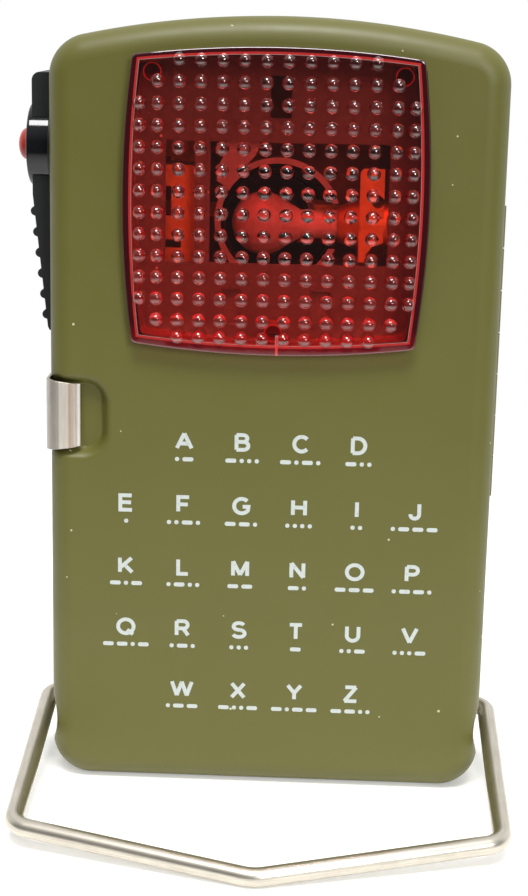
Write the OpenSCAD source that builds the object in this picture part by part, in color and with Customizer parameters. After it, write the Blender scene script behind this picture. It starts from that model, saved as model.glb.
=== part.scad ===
// Signal flashlight: a pressed steel case with a beaded red lens, a slide switch with a
// signalling button, a hinged rear cover with a spring clip, and a wire bail that lies on the table.
// Millimetres, Z up, front face towards -Y, origin in the middle of the base.

/* [Case] */
// Width over the painted sides
case_w = 75; // [74:0.5:80]
// Height to the top of the crown
case_h = 131.6; // [129:0.1:138]
// Depth from front face to back face
case_d = 35; // [34:0.5:40]
// Radius of the crowned top
crown_r = 150; // [120:1:220]
// Corner radius of the outline
corner_r = 7; // [6:0.5:9]
// Rounded edge between the faces and the sides
edge_r = 4; // [3:0.25:5]
// Sheet thickness
wall = 0.8; // [0.6:0.05:1]
// Depth of the front half, front face to parting line
split_d = 22.5; // [22:0.25:24]
// Gap between the rear cover and the rim inside it
rim_gap = 0.3; // [0.2:0.05:0.4]

/* [Lens] */
// Half width at the middle of a side
lens_half = 24.9; // [24:0.1:25.3]
// How much less the half width is at the corners
lens_bulge = 1.6; // [1:0.1:2.5]
// Radius of the lens's corners
lens_corner = 0.9; // [0.5:0.1:2]
// Lens centre below the top of the crown
lens_drop = 29.6; // [29.4:0.1:32]
// Height of the lens above the front face
lens_proud = 2; // [1:0.1:3]
// Gap round the lens in its window
lens_fit = 0.15; // [0.1:0.05:0.3]
// Bead diameter
bead_d = 2.26; // [1.8:0.02:2.6]
// Bead height above the lens
bead_h = 0.95; // [0.6:0.05:1.1]
// Bead pitch
bead_pitch = 3.5; // [3.4:0.02:3.7]
// Pitch from the grid to the outermost beads
bead_edge = 2.85; // [2.7:0.05:3.2]

/* [Lamp] */
// Front face to lens frame
frame_set = 6.5; // [6:0.1:7.5]
// Width of the window in the lens frame
aperture_w = 37.6; // [34:0.2:38]
// Height of the window in the lens frame
aperture_h = 20.2; // [18:0.1:22]
// Diameter of the bulb's globe
globe_d = 10.7; // [9:0.1:11]
// Radius of the reflector bowl
bowl_r = 9.7; // [9.6:0.1:11]

/* [Bail] */
// Wire diameter
wire_d = 3.1; // [2.5:0.1:3.2]
// Distance between the middles of the arms
bail_span = 79.2; // [79:0.1:84]
// Pivot to the sharp corner of the bail
bail_arm = 41.5; // [36:0.5:50]
// Slope of the V
bail_v = 16; // [10:0.5:22]
// Height of the pivot above the base
pivot_z = 10.9; // [10:0.1:14]
// Pivot behind the front face
pivot_set = 14; // [13.5:0.5:15]
// Radial play of the wire in its eyelet
pivot_fit = 0.05; // [0.02:0.01:0.1]

/* [Switch] */
// Length of the slider
slider_len = 43.2; // [42:0.1:46]
// Width of the slider
slider_w = 10; // [8:0.5:11]
// Height of the slider over the side of the case
slider_h = 3.6; // [3:0.1:4]
// Height at the thin end
slider_end_h = 1.2; // [1:0.1:2]
// Slider travel
slide_travel = 5; // [3:0.5:5]
// Collar diameter
collar_d = 13.7; // [12:0.1:14]
// Height of the collar's dome over the case
collar_h = 5.5; // [5:0.1:6]
// Button diameter
button_d = 5.3; // [4.6:0.1:5.6]
// Height of the button over the case
button_h = 6.6; // [6.3:0.1:7.5]
// Button travel
button_travel = 1; // [0.5:0.1:1.2]
// Distance between the grip ribs
rib_pitch = 3.5; // [3.2:0.05:3.8]

/* [Clip and hinge] */
// Width of the spring clip
clip_w = 12.1; // [10:0.1:12.5]
// Thickness of the spring clip
clip_t = 0.5; // [0.4:0.05:0.6]
// Middle of the clip above the base
clip_z = 65.6; // [64:0.1:66.7]
// Depth of the pressed recess under the clip
recess_d = 1.5; // [1.3:0.1:1.8]
// Top of the hinge above the base
hinge_top = 100.4; // [95:0.1:105]
// Length of one hinge knuckle
knuckle_l = 7.5; // [6:0.1:9]
// Hinge barrel diameter
knuckle_d = 2.8; // [2.6:0.1:3]

/* [Battery] */
// Width of the flat battery
battery_w = 62; // [60:0.5:64]
// Thickness of the flat battery
battery_t = 22; // [20:0.5:22.5]
// Height of the flat battery
battery_h = 67; // [64:0.5:67.5]

/* [Hidden] */
$fn = 96;
yf = -case_d / 2;
yb = case_d / 2;
ys = yf + split_d;
side = case_w / 2;
corner_x = side - corner_r;
crown_z = case_h - crown_r;
crown_a = asin(corner_x / (crown_r - corner_r));
corner_top = crown_z + (crown_r - corner_r) * cos(crown_a);
lens_z = case_h - lens_drop;
lens_t = 2;
lens_wall = 1.3;
yp = yf + frame_set;
sheet = 0.8;
strip = 0.4;
frame_x = lens_half + 5.1;
post_x = frame_x - 1.5;
post_top = lens_z + 20;
post_low = lens_z - 23;
post_r = 2.2;
board_y = yp + 13;
board_t = 1.2;
peg_x = lens_half - 4.7;
peg_z = lens_half - 4.3;
peg_low = lens_half - 3.6;
peg_r = 1.3;
aperture_z = lens_z - 0.6;
slot_w = 5;
bar_w = 2.5;
bulb_y = yp + 4.5;
bulb_z = lens_z - 4.2;
bulb_x = -2.4;
bowl_x = 0.2;
bowl_z = lens_z - 3.6;
bowl_y = yp + sheet + 0.6;
neck_r = 2.4;
neck_x = 13.9;
base_r = 3.4;
tip_x = 22;
plus_x = -aperture_w / 2 - 0.6;
rim_w = 0.8;
rim_in = wall + rim_gap + rim_w;
rim_step = 3;
wire_r = wire_d / 2;
bail_x = bail_span / 2;
pivot_y = yf + pivot_set;
dish_d = 1.1;
seat_x = side - dish_d;
flange_t = 0.5;
pivot_bend = bail_x - seat_x - flange_t - 0.1;
corner_bend = 3.5;
apex_bend = 6;
wire_end = side - wall - dish_d - 2;
apex_len = bail_arm + bail_x * tan(bail_v) - apex_bend * (1 / cos(bail_v) - 1);
rest_a = acos((pivot_z - wire_r) / apex_len);
button_y = yf + 13;
button_z = lens_z + 7.7;
slider_gap = 0.3;
slider_top = case_h - 9.75;
slider_low = slider_top - slider_len;
wedge_top = button_z - 8;
floor_p = slider_gap + 0.5;
stem_w = 4.8;
stem_l = 12;
stem_in = -(wall + 1.7);
shoe_p = -(wall + slider_gap);
cap_p = 3;
plunger_r = 1.2;
plunger_in = stem_in - 0.7;
leaf_p = plunger_in - 0.1;
hinge_x = side + 0.65;
hinge_low = hinge_top - 7 * knuckle_l;
pin_r = 0.7;
hook_y = yb - 6.05;
clip_low = clip_z - clip_w / 2;
battery_y = ys - 2;
battery_low = rim_in + 0.3;
battery_top = battery_low + battery_h;
tab_l = 6;

// Helpers

// A flat drawing in X and Z, made solid from y0 to y1
module slab(y0, y1) {
  translate([0, y1, 0]) rotate([90, 0, 0]) linear_extrude(y1 - y0) children();
}

module block(x0, x1, y0, y1, z0, z1) {
  translate([x0, y0, z0]) cube([x1 - x0, y1 - y0, z1 - z0]);
}

module rod_x(x0, x1, r, y, z) {
  translate([x0, y, z]) rotate([0, 90, 0]) cylinder(h = x1 - x0, r = r);
}

module rod_y(y0, y1, r, x, z) {
  translate([x, y1, z]) rotate([90, 0, 0]) cylinder(h = y1 - y0, r = r);
}

// The case's outline, drawn in by inset
module case_outline(inset) {
  w = side - inset;
  rt = crown_r - inset;
  rc = corner_r - inset;
  tx = rt * sin(crown_a);
  tz = crown_z + rt * cos(crown_a);
  polygon([[-corner_x, inset], [corner_x, inset], [w, corner_r], [w, corner_top], [tx, tz],
    [-tx, tz], [-w, corner_top], [-w, corner_r]]);
  for (x = [-corner_x, corner_x], z = [corner_r, corner_top]) translate([x, z]) circle(rc);
  intersection() {
    translate([0, crown_z]) circle(rt);
    translate([-tx, tz - 6]) square([2 * tx, 20]);
  }
}

module quarter(r0, r) {
  translate([r0, 0]) intersection() {
    circle(r);
    square(r);
  }
}

// A block with the case's outline and a rounded edge at y0
module case_form(inset, y0, y1) {
  r = edge_r - inset;
  yc = y0 + r;
  xe = side - edge_r;
  slab(yc, y1) case_outline(inset);
  slab(y0, yc) case_outline(edge_r);
  translate([xe, yc, corner_r]) mirror([0, 1, 0]) linear_extrude(corner_top - corner_r) quarter(0, r);
  translate([-xe, yc, corner_r]) rotate([0, 0, 180]) linear_extrude(corner_top - corner_r) quarter(0, r);
  translate([-corner_x, yc, edge_r]) rotate([90, 0, 90]) linear_extrude(2 * corner_x)
    rotate([0, 0, 180]) quarter(0, r);
  for (x = [-corner_x, corner_x], z = [corner_r, corner_top])
    translate([x, yc, z]) rotate([90, 0, 0]) rotate_extrude() {
      quarter(corner_r - edge_r, r);
      square([corner_r - edge_r, r]);
    }
  translate([0, yc, crown_z]) rotate([90, 0, 0]) rotate([0, 0, 90 - crown_a])
    rotate_extrude(angle = 2 * crown_a) quarter(crown_r - edge_r, r);
}

// A square whose four sides bulge
module barrel(half) {
  c = half - lens_bulge;
  rb = (c * c + lens_bulge * lens_bulge) / (2 * lens_bulge);
  intersection() {
    translate([half - rb, 0]) circle(rb);
    translate([rb - half, 0]) circle(rb);
    translate([0, half - rb]) circle(rb);
    translate([0, rb - half]) circle(rb);
  }
}

// The same square with rounded corners
module soft_barrel(half) {
  c = half - lens_bulge;
  rb = (c * c + lens_bulge * lens_bulge) / (2 * lens_bulge);
  rc = rb - lens_corner;
  m = rb - half;
  d = (sqrt(2 * rc * rc - m * m) - m) / 2;
  cut = (2 * d + m) * rb / rc - m;
  e = cut - half - 1;
  intersection() {
    translate([half - rb, 0]) circle(rb);
    translate([rb - half, 0]) circle(rb);
    translate([0, half - rb]) circle(rb);
    translate([0, rb - half]) circle(rb);
    polygon([[half + 1, e], [e, half + 1], [-e, half + 1], [-half - 1, e], [-half - 1, -e], [-e, -half - 1],
      [e, -half - 1], [half + 1, -e]]);
  }
  for (x = [-d, d], z = [-d, d]) translate([x, z]) circle(lens_corner);
}

// Places for four screws
module at_posts() {
  for (x = [-post_x, post_x], z = [post_low, post_top]) translate([x, 0, z]) children();
}

// Places for the lens's three pegs
module at_pegs() {
  for (p = [[-peg_x, peg_z], [peg_x, peg_z], [0, -peg_low]]) translate([p[0], 0, lens_z + p[1]]) children();
}

// The switch's own frame: X is outwards from the left side
module on_left() {
  translate([-side, button_y, 0]) mirror([1, 0, 0]) children();
}

// Rounded end of the pressed recess
module recess_drawing(grow) {
  r = 2.3 + grow;
  x1 = -side + 9.6 + grow;
  z0 = clip_z - 6.6 - grow;
  z1 = clip_z + 6.2 + grow;
  translate([-side - 4, z0]) square([x1 - r + side + 4, z1 - z0]);
  translate([-side - 4, z0 + r]) square([x1 + side + 4, z1 - z0 - 2 * r]);
  for (z = [z0 + r, z1 - r]) translate([x1 - r, z]) circle(r);
}

// Room for the hinge barrel and the ends of its pin
module hinge_notch() {
  translate([hinge_x, ys, hinge_low - 0.8]) cylinder(h = hinge_top - hinge_low + 1.6, r = knuckle_d / 2 + 0.3);
}

// Case

module front_shell() {
  color("#757440") difference() {
    union() {
      difference() {
        case_form(0, yf, ys);
        case_form(wall, yf + wall, ys + 1);
      }
      intersection() {
        slab(yf + wall - 0.05, yf + recess_d + wall) recess_drawing(wall);
        block(-side + 1.7, 0, yf, 0, 0, case_h);
      }
      for (s = [-1, 1]) {
        rod_x(s * (side - 1.3 * wall) - 0.45, s * (side - 1.3 * wall) - 0.45 + 0.9, 6.5, pivot_y, pivot_z);
        rod_x(s * (seat_x - wall / 2) - wall / 2, s * (seat_x - wall / 2) + wall / 2, 6.2, pivot_y, pivot_z);
        intersection() {
          rod_y(yf + 2.1, pivot_y, 10 + wall, s * (side + 9.1), pivot_z - 0.5);
          block(s * (side - 2.25) - 1.7, s * (side - 2.25) + 1.7, yf, 0, 0, 40);
        }
      }
      at_posts() rod_y(yf + wall / 2, yp, post_r, 0, 0);
    }
    translate([0, 0, lens_z]) slab(yf - 1, yf + wall + 1) barrel(lens_half + lens_fit);
    slab(yf - 1, yf + recess_d) recess_drawing(0);
    for (s = [-1, 1]) {
      translate([s * side, pivot_y, pivot_z]) rotate([0, -90 * s, 0])
        translate([0, 0, -0.02]) cylinder(h = dish_d + 0.02, r1 = 7, r2 = 4.8);
      rod_y(yf - 1, pivot_y, 10, s * (side + 9.1), pivot_z - 0.5);
      rod_x(s * seat_x - 3, s * seat_x + 3, wire_r + 0.6, pivot_y, pivot_z);
    }
    block(-side - 1, -side + wall + 1, button_y - stem_w / 2 - 0.3, button_y + stem_w / 2 + 0.3,
      button_z - stem_l / 2 - slide_travel - 0.3, button_z + stem_l / 2 + 0.3);
    hinge_notch();
    at_posts() rod_y(yf + 3, yp + 1, 1, 0, 0);
  }
}

module inner_rim() {
  color("#6a693c") difference() {
    union() {
      slab(ys - 4, ys) difference() {
        case_outline(wall);
        case_outline(rim_in);
      }
      slab(ys, ys + rim_step) difference() {
        case_outline(wall + rim_gap);
        case_outline(rim_in);
      }
    }
    rod_x(-case_w, case_w, 6.8, pivot_y, pivot_z);
  }
}

module rear_cover() {
  color("#757440") difference() {
    mirror([0, 1, 0]) difference() {
      case_form(0, -yb, -ys);
      case_form(wall, wall - yb, 1 - ys);
    }
    block(-side - 1, -side + wall + 1, hook_y - 1, hook_y + 1, clip_z - 3.4, clip_z + 3.4);
    hinge_notch();
  }
}

module battery_pad() {
  color("#3a3a3a") block(-22, 22, battery_y + battery_t / 2 + 0.3, yb - wall, 14, 58);
}

// Lens and lamp

module lens() {
  r = bead_d / 2;
  sphere_r = bead_h >= r ? r : (r * r + bead_h * bead_h) / (2 * bead_h);
  yl = yf - lens_proud;
  e = 5.5 * bead_pitch + bead_edge;
  color("#b5121b") translate([0, 0, lens_z]) {
    slab(yl, yl + lens_t) soft_barrel(lens_half);
    slab(yl, yp) difference() {
      soft_barrel(lens_half);
      barrel(lens_half - lens_wall);
    }
    slab(yf + wall, yf + wall + 1.2) intersection() {
      difference() {
        barrel(lens_half + 1.5);
        barrel(lens_half - lens_wall);
      }
      translate([-40, -40]) square([80, 40 + lens_half - 3]);
    }
    for (i = [-5.5:5.5], j = [-5.5:5.5])
      translate([i * bead_pitch, yl + sphere_r - bead_h, j * bead_pitch]) sphere(sphere_r);
    for (i = [-4.5:4.5]) {
      translate([i * bead_pitch, yl + sphere_r - bead_h, 6.5 * bead_pitch - 0.1]) sphere(sphere_r);
      translate([i * bead_pitch, yl + sphere_r - bead_h, -e]) sphere(sphere_r);
      for (x = [-e, e]) translate([x, yl + sphere_r - bead_h, i * bead_pitch]) sphere(sphere_r);
    }
    translate([0, 0, -lens_z]) at_pegs() rod_y(yl + lens_t - 0.5, yp + sheet + 1.2, peg_r, 0, 0);
  }
}

module lens_frame() {
  color("#8f8f86") difference() {
    block(-frame_x, frame_x, yp, yp + sheet, lens_z - 28, lens_z + 24);
    block(-aperture_w / 2, slot_w - aperture_w / 2, yp - 1, yp + 2, aperture_z - aperture_h / 2,
      aperture_z + aperture_h / 2);
    block(slot_w + bar_w - aperture_w / 2, aperture_w / 2, yp - 1, yp + 2, aperture_z - aperture_h / 2,
      aperture_z + aperture_h / 2);
    block(-1.4, 2.1, yp - 1, yp + 2, lens_z + 13.5, lens_z + 20.4);
    for (x = [-9.15, 6.1]) block(x, x + 3.4, yp - 1, yp + 2, lens_z - 21.2, lens_z - 15.2);
    at_posts() rod_y(yp - 1, yp + 2, 1.1, 0, 0);
    at_pegs() rod_y(yp - 1, yp + 2, peg_r + 0.05, 0, 0);
  }
}

module peg_clips() {
  color("#b9b9b4") at_pegs() difference() {
    rod_y(yp + sheet, yp + sheet + 0.4, 2.6, 0, 0);
    rod_y(yp, yp + 3, peg_r, 0, 0);
  }
}

module spacers() {
  color("#b9b9b4") at_posts() difference() {
    rod_y(yp + sheet, board_y, post_r, 0, 0);
    rod_y(yp, board_y + 1, 1.1, 0, 0);
  }
}

module frame_screws() {
  color("#c8c8c2") at_posts() difference() {
    union() {
      rod_y(yp - 3, board_y + board_t + 0.2, 1, 0, 0);
      rod_y(board_y + board_t, board_y + board_t + 1.3, 2, 0, 0);
    }
    block(-3, 3, board_y + board_t + 0.7, board_y + board_t + 2, -0.3, 0.3);
  }
}

module contact_board() {
  color("#7a5a33") difference() {
    block(-frame_x, frame_x, board_y, board_y + board_t, lens_z - 28, lens_z + 23);
    at_posts() rod_y(board_y - 1, board_y + 3, 1.1, 0, 0);
  }
}

module reflector() {
  color("#d8d8d4") difference() {
    union() {
      intersection() {
        translate([bowl_x, bowl_y, bowl_z]) sphere(bowl_r + 0.6);
        block(-20, 20, bowl_y, bowl_y + 20, bowl_z - 20, bowl_z + 20);
      }
      rod_y(yp + sheet, bowl_y, bowl_r + 1, bowl_x, bowl_z);
      translate([bowl_x, 0, bowl_z]) slab(yp + sheet, bowl_y) polygon([[-8.5, 14.5], [-3.2, 14.5], [-3.2, 12.6],
        [-3.9, 11], [-6, 8.6], [-6.4, 6.4], [-8.2, 5.2], [-10.4, 6.5], [-10.4, 8.5], [-9.4, 10.5]]);
    }
    translate([bowl_x, bowl_y, bowl_z]) sphere(bowl_r);
    block(bowl_x, 20, yp, bulb_y + 5, bulb_z - 3.8, bulb_z + 3.8);
  }
}

// Half the bulb's outline: a globe that tapers to its neck
module pear(inset) {
  r = globe_d / 2 - inset;
  n = neck_r - inset;
  taper = 6.4;
  a = atan2(n, taper) + acos(r / norm([taper, n])) - 8;
  on = [r * sin(a), r * cos(a)];
  run = on - [n, taper];
  inside = on + run / norm(run);
  intersection() {
    union() {
      circle(r);
      polygon([[0, 0], [inside[0], inside[1]], [n, taper], [0, taper]]);
      translate([0, taper - 0.1]) square([n, neck_x + 1.8 - bulb_x - taper + 0.1 + (inset > 0 ? 1 : 0)]);
    }
    translate([0, -globe_d]) square([globe_d, 2 * globe_d + neck_x]);
  }
}

module bulb_glass() {
  color("#f2efe6") translate([bulb_x, bulb_y, bulb_z]) rotate([0, 90, 0]) rotate_extrude() difference() {
    pear(0);
    pear(0.5);
  }
}

module bulb_filament() {
  color("#6f6f70") {
    for (s = [-1, 1]) rod_x(bulb_x, neck_x + 1.8, 0.2, bulb_y, bulb_z + s * 1.4);
    translate([bulb_x + 0.2, bulb_y, bulb_z - 1.4]) cylinder(h = 2.8, r = 0.15);
  }
}

module bulb_base() {
  color("#b89a52") difference() {
    union() {
      rod_x(neck_x, tip_x - 2.5, base_r - 0.35, bulb_y, bulb_z);
      for (i = [0:3]) rod_x(neck_x + 1.4 * i, neck_x + 1.4 * i + 0.8, base_r, bulb_y, bulb_z);
    }
    rod_x(neck_x - 1, neck_x + 1.8, neck_r, bulb_y, bulb_z);
  }
}

module bulb_insulator() {
  color("#2b2b2d") translate([tip_x - 2.5, bulb_y, bulb_z]) rotate([0, 90, 0]) cylinder(h = 1.5, r1 = base_r - 0.5, r2 = 2);
}

module bulb_tip() {
  color("#c9c9c4") rod_x(tip_x - 1, tip_x, 1.6, bulb_y, bulb_z);
}

// A flared sleeve round the bulb's base, with a plate in front of it and a wall that stands on the board
module bulb_holder() {
  x0 = neck_x - 3.5;
  x1 = tip_x - 2.2;
  bore = base_r + 0.05;
  plate_y = bulb_y - bore - 0.75;
  color("#c7a34b") difference() {
    union() {
      translate([0, bulb_y, bulb_z]) rotate([0, 90, 0]) rotate_extrude()
        polygon([[neck_r + 0.15, x0], [neck_r + 0.6, x0], [bore + 0.9, neck_x], [bore + 0.55, neck_x + 0.5],
          [bore + 0.55, x1], [bore, x1], [bore, neck_x - 0.6]]);
      translate([neck_x, 0, bulb_z]) slab(plate_y, plate_y + strip) difference() {
        union() {
          polygon([[0, -5.9], [1.1, -5.9], [1.3, -4.6], [2.2, -3.3], [4.1, -2.6], [4.1, 9.7], [0.9, 9.7], [0, 8.8]]);
          translate([0.9, 8.8]) circle(0.9);
        }
        translate([2.5, 0.4]) square([2, 1.3]);
        translate([3.1, 4.2]) circle(1.05);
      }
      block(x1 - 0.8, x1, yp + sheet, board_y - 1, bulb_z - 9, bulb_z + 9);
      block(x1 - 0.8, x1, yp + sheet, board_y - strip, bulb_z - 9, bulb_z - 4.5);
    }
    rod_x(neck_x, x1 + 1, bore, bulb_y, bulb_z);
    block(aperture_w / 2 - 0.3, 40, yp - 10, yp + sheet, bulb_z - 20, bulb_z + 20);
  }
}

// Contacts

module tip_contact() {
  color("#c7a34b") {
    block(tip_x, tip_x + strip, yp + sheet + 1.2, board_y, bulb_z - 3, bulb_z + 3);
    block(tip_x, tip_x + 6, board_y - strip, board_y, bulb_z - 3, bulb_z + 3);
  }
}

module contact_plus() {
  w = 5.6;
  z1 = lens_z + 5.2;
  y0 = yp + 3;
  color("#c7a34b") difference() {
    union() {
      block(plus_x, plus_x + w, y0, y0 + strip, battery_top + 3, z1);
      block(plus_x, plus_x + w, y0, board_y, z1 - strip, z1);
      block(plus_x, plus_x + w, board_y - strip, board_y, z1 - strip, z1 + 5);
    }
    block(plus_x - 1, plus_x + 3, y0 - 1, y0 + 1, lens_z - 8.8, lens_z - 7.4);
    block(plus_x - 1, plus_x + 1.3, y0 - 1, y0 + 1, lens_z - 3.4, lens_z + 1.6);
  }
}

module contact_minus() {
  color("#c7a34b") block(tip_x - 8, tip_x - 1.8, board_y - strip, board_y, lens_z - 27.5, bulb_z - 4.5);
}

module switch_strip() {
  color("#c7a34b") block(-frame_x + 2.5, plus_x, board_y - strip, board_y, lens_z + 6, lens_z + 10);
}

module bulb_strip() {
  color("#c7a34b") block(-frame_x + 2.5, tip_x, board_y - strip, board_y, bulb_z, bulb_z + 2.5);
}

module flat_battery() {
  color("#2f4a78") block(-battery_w / 2, battery_w / 2, battery_y - battery_t / 2, battery_y + battery_t / 2,
    battery_low, battery_top);
}

module battery_tab_plus() {
  x0 = -aperture_w / 2 - 1.2;
  y0 = yp + 3 + strip;
  color("#c7a34b") {
    block(x0, x0 + tab_l, y0, y0 + 0.3, battery_top, battery_top + 11);
    block(x0, x0 + tab_l, y0, battery_y, battery_top, battery_top + 0.3);
  }
}

module battery_tab_minus() {
  x0 = tip_x - 8;
  y1 = board_y - strip;
  color("#c7a34b") {
    block(x0, x0 + tab_l, y1 - 0.3, y1, battery_top, battery_top + 15);
    block(x0, x0 + tab_l, y1 - 0.3, battery_y + 5, battery_top, battery_top + 0.3);
  }
}

// Hinge

module leaf(direction, first) {
  r = knuckle_d / 2;
  difference() {
    union() {
      for (i = [first:2:6]) {
        z0 = hinge_low + i * knuckle_l + 0.15;
        translate([hinge_x, ys, z0]) cylinder(h = knuckle_l - 0.3, r = r);
        block(side, side + 0.5, direction < 0 ? ys - 4 : ys + 0.9, direction < 0 ? ys - 0.9 : ys + 4,
          z0, z0 + knuckle_l - 0.3);
      }
      block(side, side + 0.5, direction < 0 ? ys - 9 : ys + r + 0.3, direction < 0 ? ys - r - 0.3 : ys + 7.5,
        hinge_low, hinge_top);
    }
    translate([hinge_x, ys, hinge_low - 1]) cylinder(h = 80, r = pin_r + (first == 0 ? 0.01 : 0.06));
  }
}

module hinge_leaf_front() {
  color("#757440") leaf(-1, 0);
}

module hinge_leaf_rear() {
  color("#757440") leaf(1, 1);
}

module hinge_pin() {
  color("#c8c8c2") {
    translate([hinge_x, ys, hinge_low - 0.4]) cylinder(h = hinge_top - hinge_low + 0.8, r = pin_r);
    translate([hinge_x, ys, hinge_top - 0.15]) cylinder(h = 0.6, r = pin_r + 0.4);
  }
}

// Spring clip

function bend(cx, cy, r, a0, a1, n) = [for (i = [0:n]) let (a = a0 + (a1 - a0) * i / n)
  [cx + r * cos(a), cy + r * sin(a)]];

module latch_clip() {
  t = clip_t;
  x0 = -side - t;
  yc = yf + 1.9;
  xc = -side + 1.65;
  r = 1.9 - t / 2 + t;
  lip = -side + 3.6;
  tip = lip + (2 * 0.9 + t) * 0.77;
  s = 50;
  q = 0.9;
  outer = concat([[x0, hook_y - 0.25]], bend(xc, yc, xc - x0, 180, 270, 8),
    bend(lip, yc - (xc - x0) + t + q, q + t, 270, 270 + s, 5),
    bend(lip + (2 * q + t) * sin(s), yc - (xc - x0) + t + q - (2 * q + t) * cos(s), q, 90 + s, 90, 5));
  inner = concat([[x0 + t, hook_y - 0.25]], bend(xc, yc, xc - x0 - t, 180, 270, 8),
    bend(lip, yc - (xc - x0) + t + q, q, 270, 270 + s, 5),
    bend(lip + (2 * q + t) * sin(s), yc - (xc - x0) + t + q - (2 * q + t) * cos(s), q + t, 90 + s, 90, 5));
  n = len(inner);
  color("#b7b5ae") {
    intersection() {
      translate([0, 0, clip_low]) linear_extrude(clip_w)
        polygon(concat(outer, [for (i = [n - 1:-1:0]) inner[i]]));
      slab(yf - 5, yb) translate([0, clip_z]) polygon([[x0 - 1, -clip_w / 2], [x0 + t, -clip_w / 2],
        [tip, 0.7 - clip_w / 2], [tip + 2, 0.7 - clip_w / 2], [tip + 2, clip_w / 2 - 0.7], [tip, clip_w / 2 - 0.7],
        [x0 + t, clip_w / 2], [x0 - 1, clip_w / 2]]);
    }
    block(x0, -side + wall + 0.9, hook_y - t / 2, hook_y + t / 2, clip_z - 3, clip_z + 3);
    block(-side + wall + 0.4, -side + wall + 0.9, hook_y - 1.5, hook_y + t / 2, clip_z - 3, clip_z + 3);
    block(x0, x0 + t, hook_y - 0.5, hook_y, clip_z - 3, clip_z + 3);
  }
}

// Bail

sides = 16;
corner_t = corner_bend * tan((90 - bail_v) / 2);
apex_z = apex_bend / cos(bail_v) - bail_arm - bail_x * tan(bail_v);

// Points along the wire with the direction that it runs there
function turn(cx, cz, r, a0, a1, n) = [for (i = [0:n]) let (a = a0 + (a1 - a0) * i / n)
  [cx + r * cos(a), cz + r * sin(a), a + 90]];

wire_right = concat(
  turn(0, apex_z, apex_bend, -90, -90 + bail_v, 4),
  turn(bail_x - corner_bend, corner_t - bail_arm, corner_bend, -90 + bail_v, 0, 10),
  turn(bail_x - pivot_bend, -pivot_bend, pivot_bend, 0, 90, 9),
  [[wire_end, 0, 180]]);
wire_left = [for (i = [len(wire_right) - 1:-1:1]) [-wire_right[i][0], wire_right[i][1], -wire_right[i][2]]];
wire = concat(wire_left, wire_right);

module bail() {
  n = len(wire);
  color("#b9b4a8") translate([0, pivot_y, pivot_z]) rotate([-rest_a, 0, 0]) polyhedron(
    points = [for (p = wire, k = [0:sides - 1]) let (b = 360 * (k + 0.5) / sides)
      [p[0] + wire_r * cos(b) * sin(p[2]), wire_r * sin(b), p[1] - wire_r * cos(b) * cos(p[2])]],
    faces = concat(
      [for (i = [0:n - 2], k = [0:sides - 1])
        [i * sides + k, i * sides + (k + 1) % sides, (i + 1) * sides + (k + 1) % sides, (i + 1) * sides + k]],
      [[for (k = [sides - 1:-1:0]) k]],
      [[for (k = [0:sides - 1]) (n - 1) * sides + k]]));
}

module bail_eyelets() {
  color("#8f8f86") for (s = [-1, 1]) difference() {
    union() {
      rod_x(s * (seat_x + flange_t / 2) - flange_t / 2, s * (seat_x + flange_t / 2) + flange_t / 2, 3.2, pivot_y, pivot_z);
      rod_x(s * (seat_x - wall - flange_t / 2) - flange_t / 2, s * (seat_x - wall - flange_t / 2) + flange_t / 2,
        3.2, pivot_y, pivot_z);
      rod_x(s * (seat_x - wall / 2) - 0.7, s * (seat_x - wall / 2) + 0.7, wire_r + 0.6, pivot_y, pivot_z);
    }
    rod_x(s * seat_x - 3, s * seat_x + 3, wire_r + pivot_fit, pivot_y, pivot_z);
  }
}

// Switch

module slider_drawing() {
  rt = 1.4;
  polygon([[slider_gap, slider_low], [slider_end_h - 0.3, slider_low], [slider_end_h, slider_low + 0.6],
    [slider_h, wedge_top], [slider_h, slider_top - rt], [slider_h - rt, slider_top], [slider_gap, slider_top]]);
  translate([0, slider_top - rt]) quarter(slider_h - rt, rt);
}

module switch_slider() {
  slope = (slider_h - slider_end_h) / (wedge_top - slider_low);
  color("#17181a") on_left() difference() {
    union() {
      difference() {
        union() {
          slab(-slider_w / 2, slider_w / 2) slider_drawing();
          for (i = [0:5]) {
            z = wedge_top - 2.8 - i * rib_pitch;
            rod_y(-slider_w / 2, slider_w / 2, 0.8, slider_end_h + (z - slider_low) * slope - 0.15, z);
          }
        }
        rod_x(floor_p, 20, collar_d / 2 + 0.05, 0, button_z);
      }
      rod_x(slider_gap, floor_p, collar_d / 2 + 0.05, 0, button_z);
      block(stem_in, floor_p - 0.1, -stem_w / 2, stem_w / 2, button_z - stem_l / 2, button_z + stem_l / 2);
    }
    rod_x(stem_in - 1, 20, plunger_r + 0.05, 0, button_z);
  }
}

module button_collar() {
  r = collar_d / 2;
  hole = button_d / 2 + 0.1;
  color("#222326") on_left() translate([0, 0, button_z]) rotate([0, 90, 0]) rotate_extrude()
    polygon([[hole, floor_p], [r, floor_p], [r, collar_h - 1.6], [r - 2.6, collar_h], [hole, collar_h]]);
}

module slider_shoe() {
  color("#c7a34b") on_left() difference() {
    block(shoe_p - 0.8, shoe_p, -4.5, 4.5, button_z - 8, button_z + 8);
    block(shoe_p - 2, shoe_p + 1, -stem_w / 2, stem_w / 2, button_z - stem_l / 2, button_z + stem_l / 2);
  }
}

module morse_button() {
  r = button_d / 2;
  dome = (r * r + 0.36) / 1.2;
  color("#c4141c") on_left() {
    intersection() {
      rod_x(cap_p, button_h + 1, r, 0, button_z);
      translate([button_h - dome, 0, button_z]) sphere(dome);
    }
    rod_x(plunger_in, cap_p + 0.1, plunger_r, 0, button_z);
  }
}

module button_clip() {
  color("#c8c8c2") on_left() difference() {
    rod_x(stem_in - 0.5, stem_in - 0.1, 2, 0, button_z);
    rod_x(stem_in - 1, stem_in + 1, plunger_r, 0, button_z);
  }
}

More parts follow.
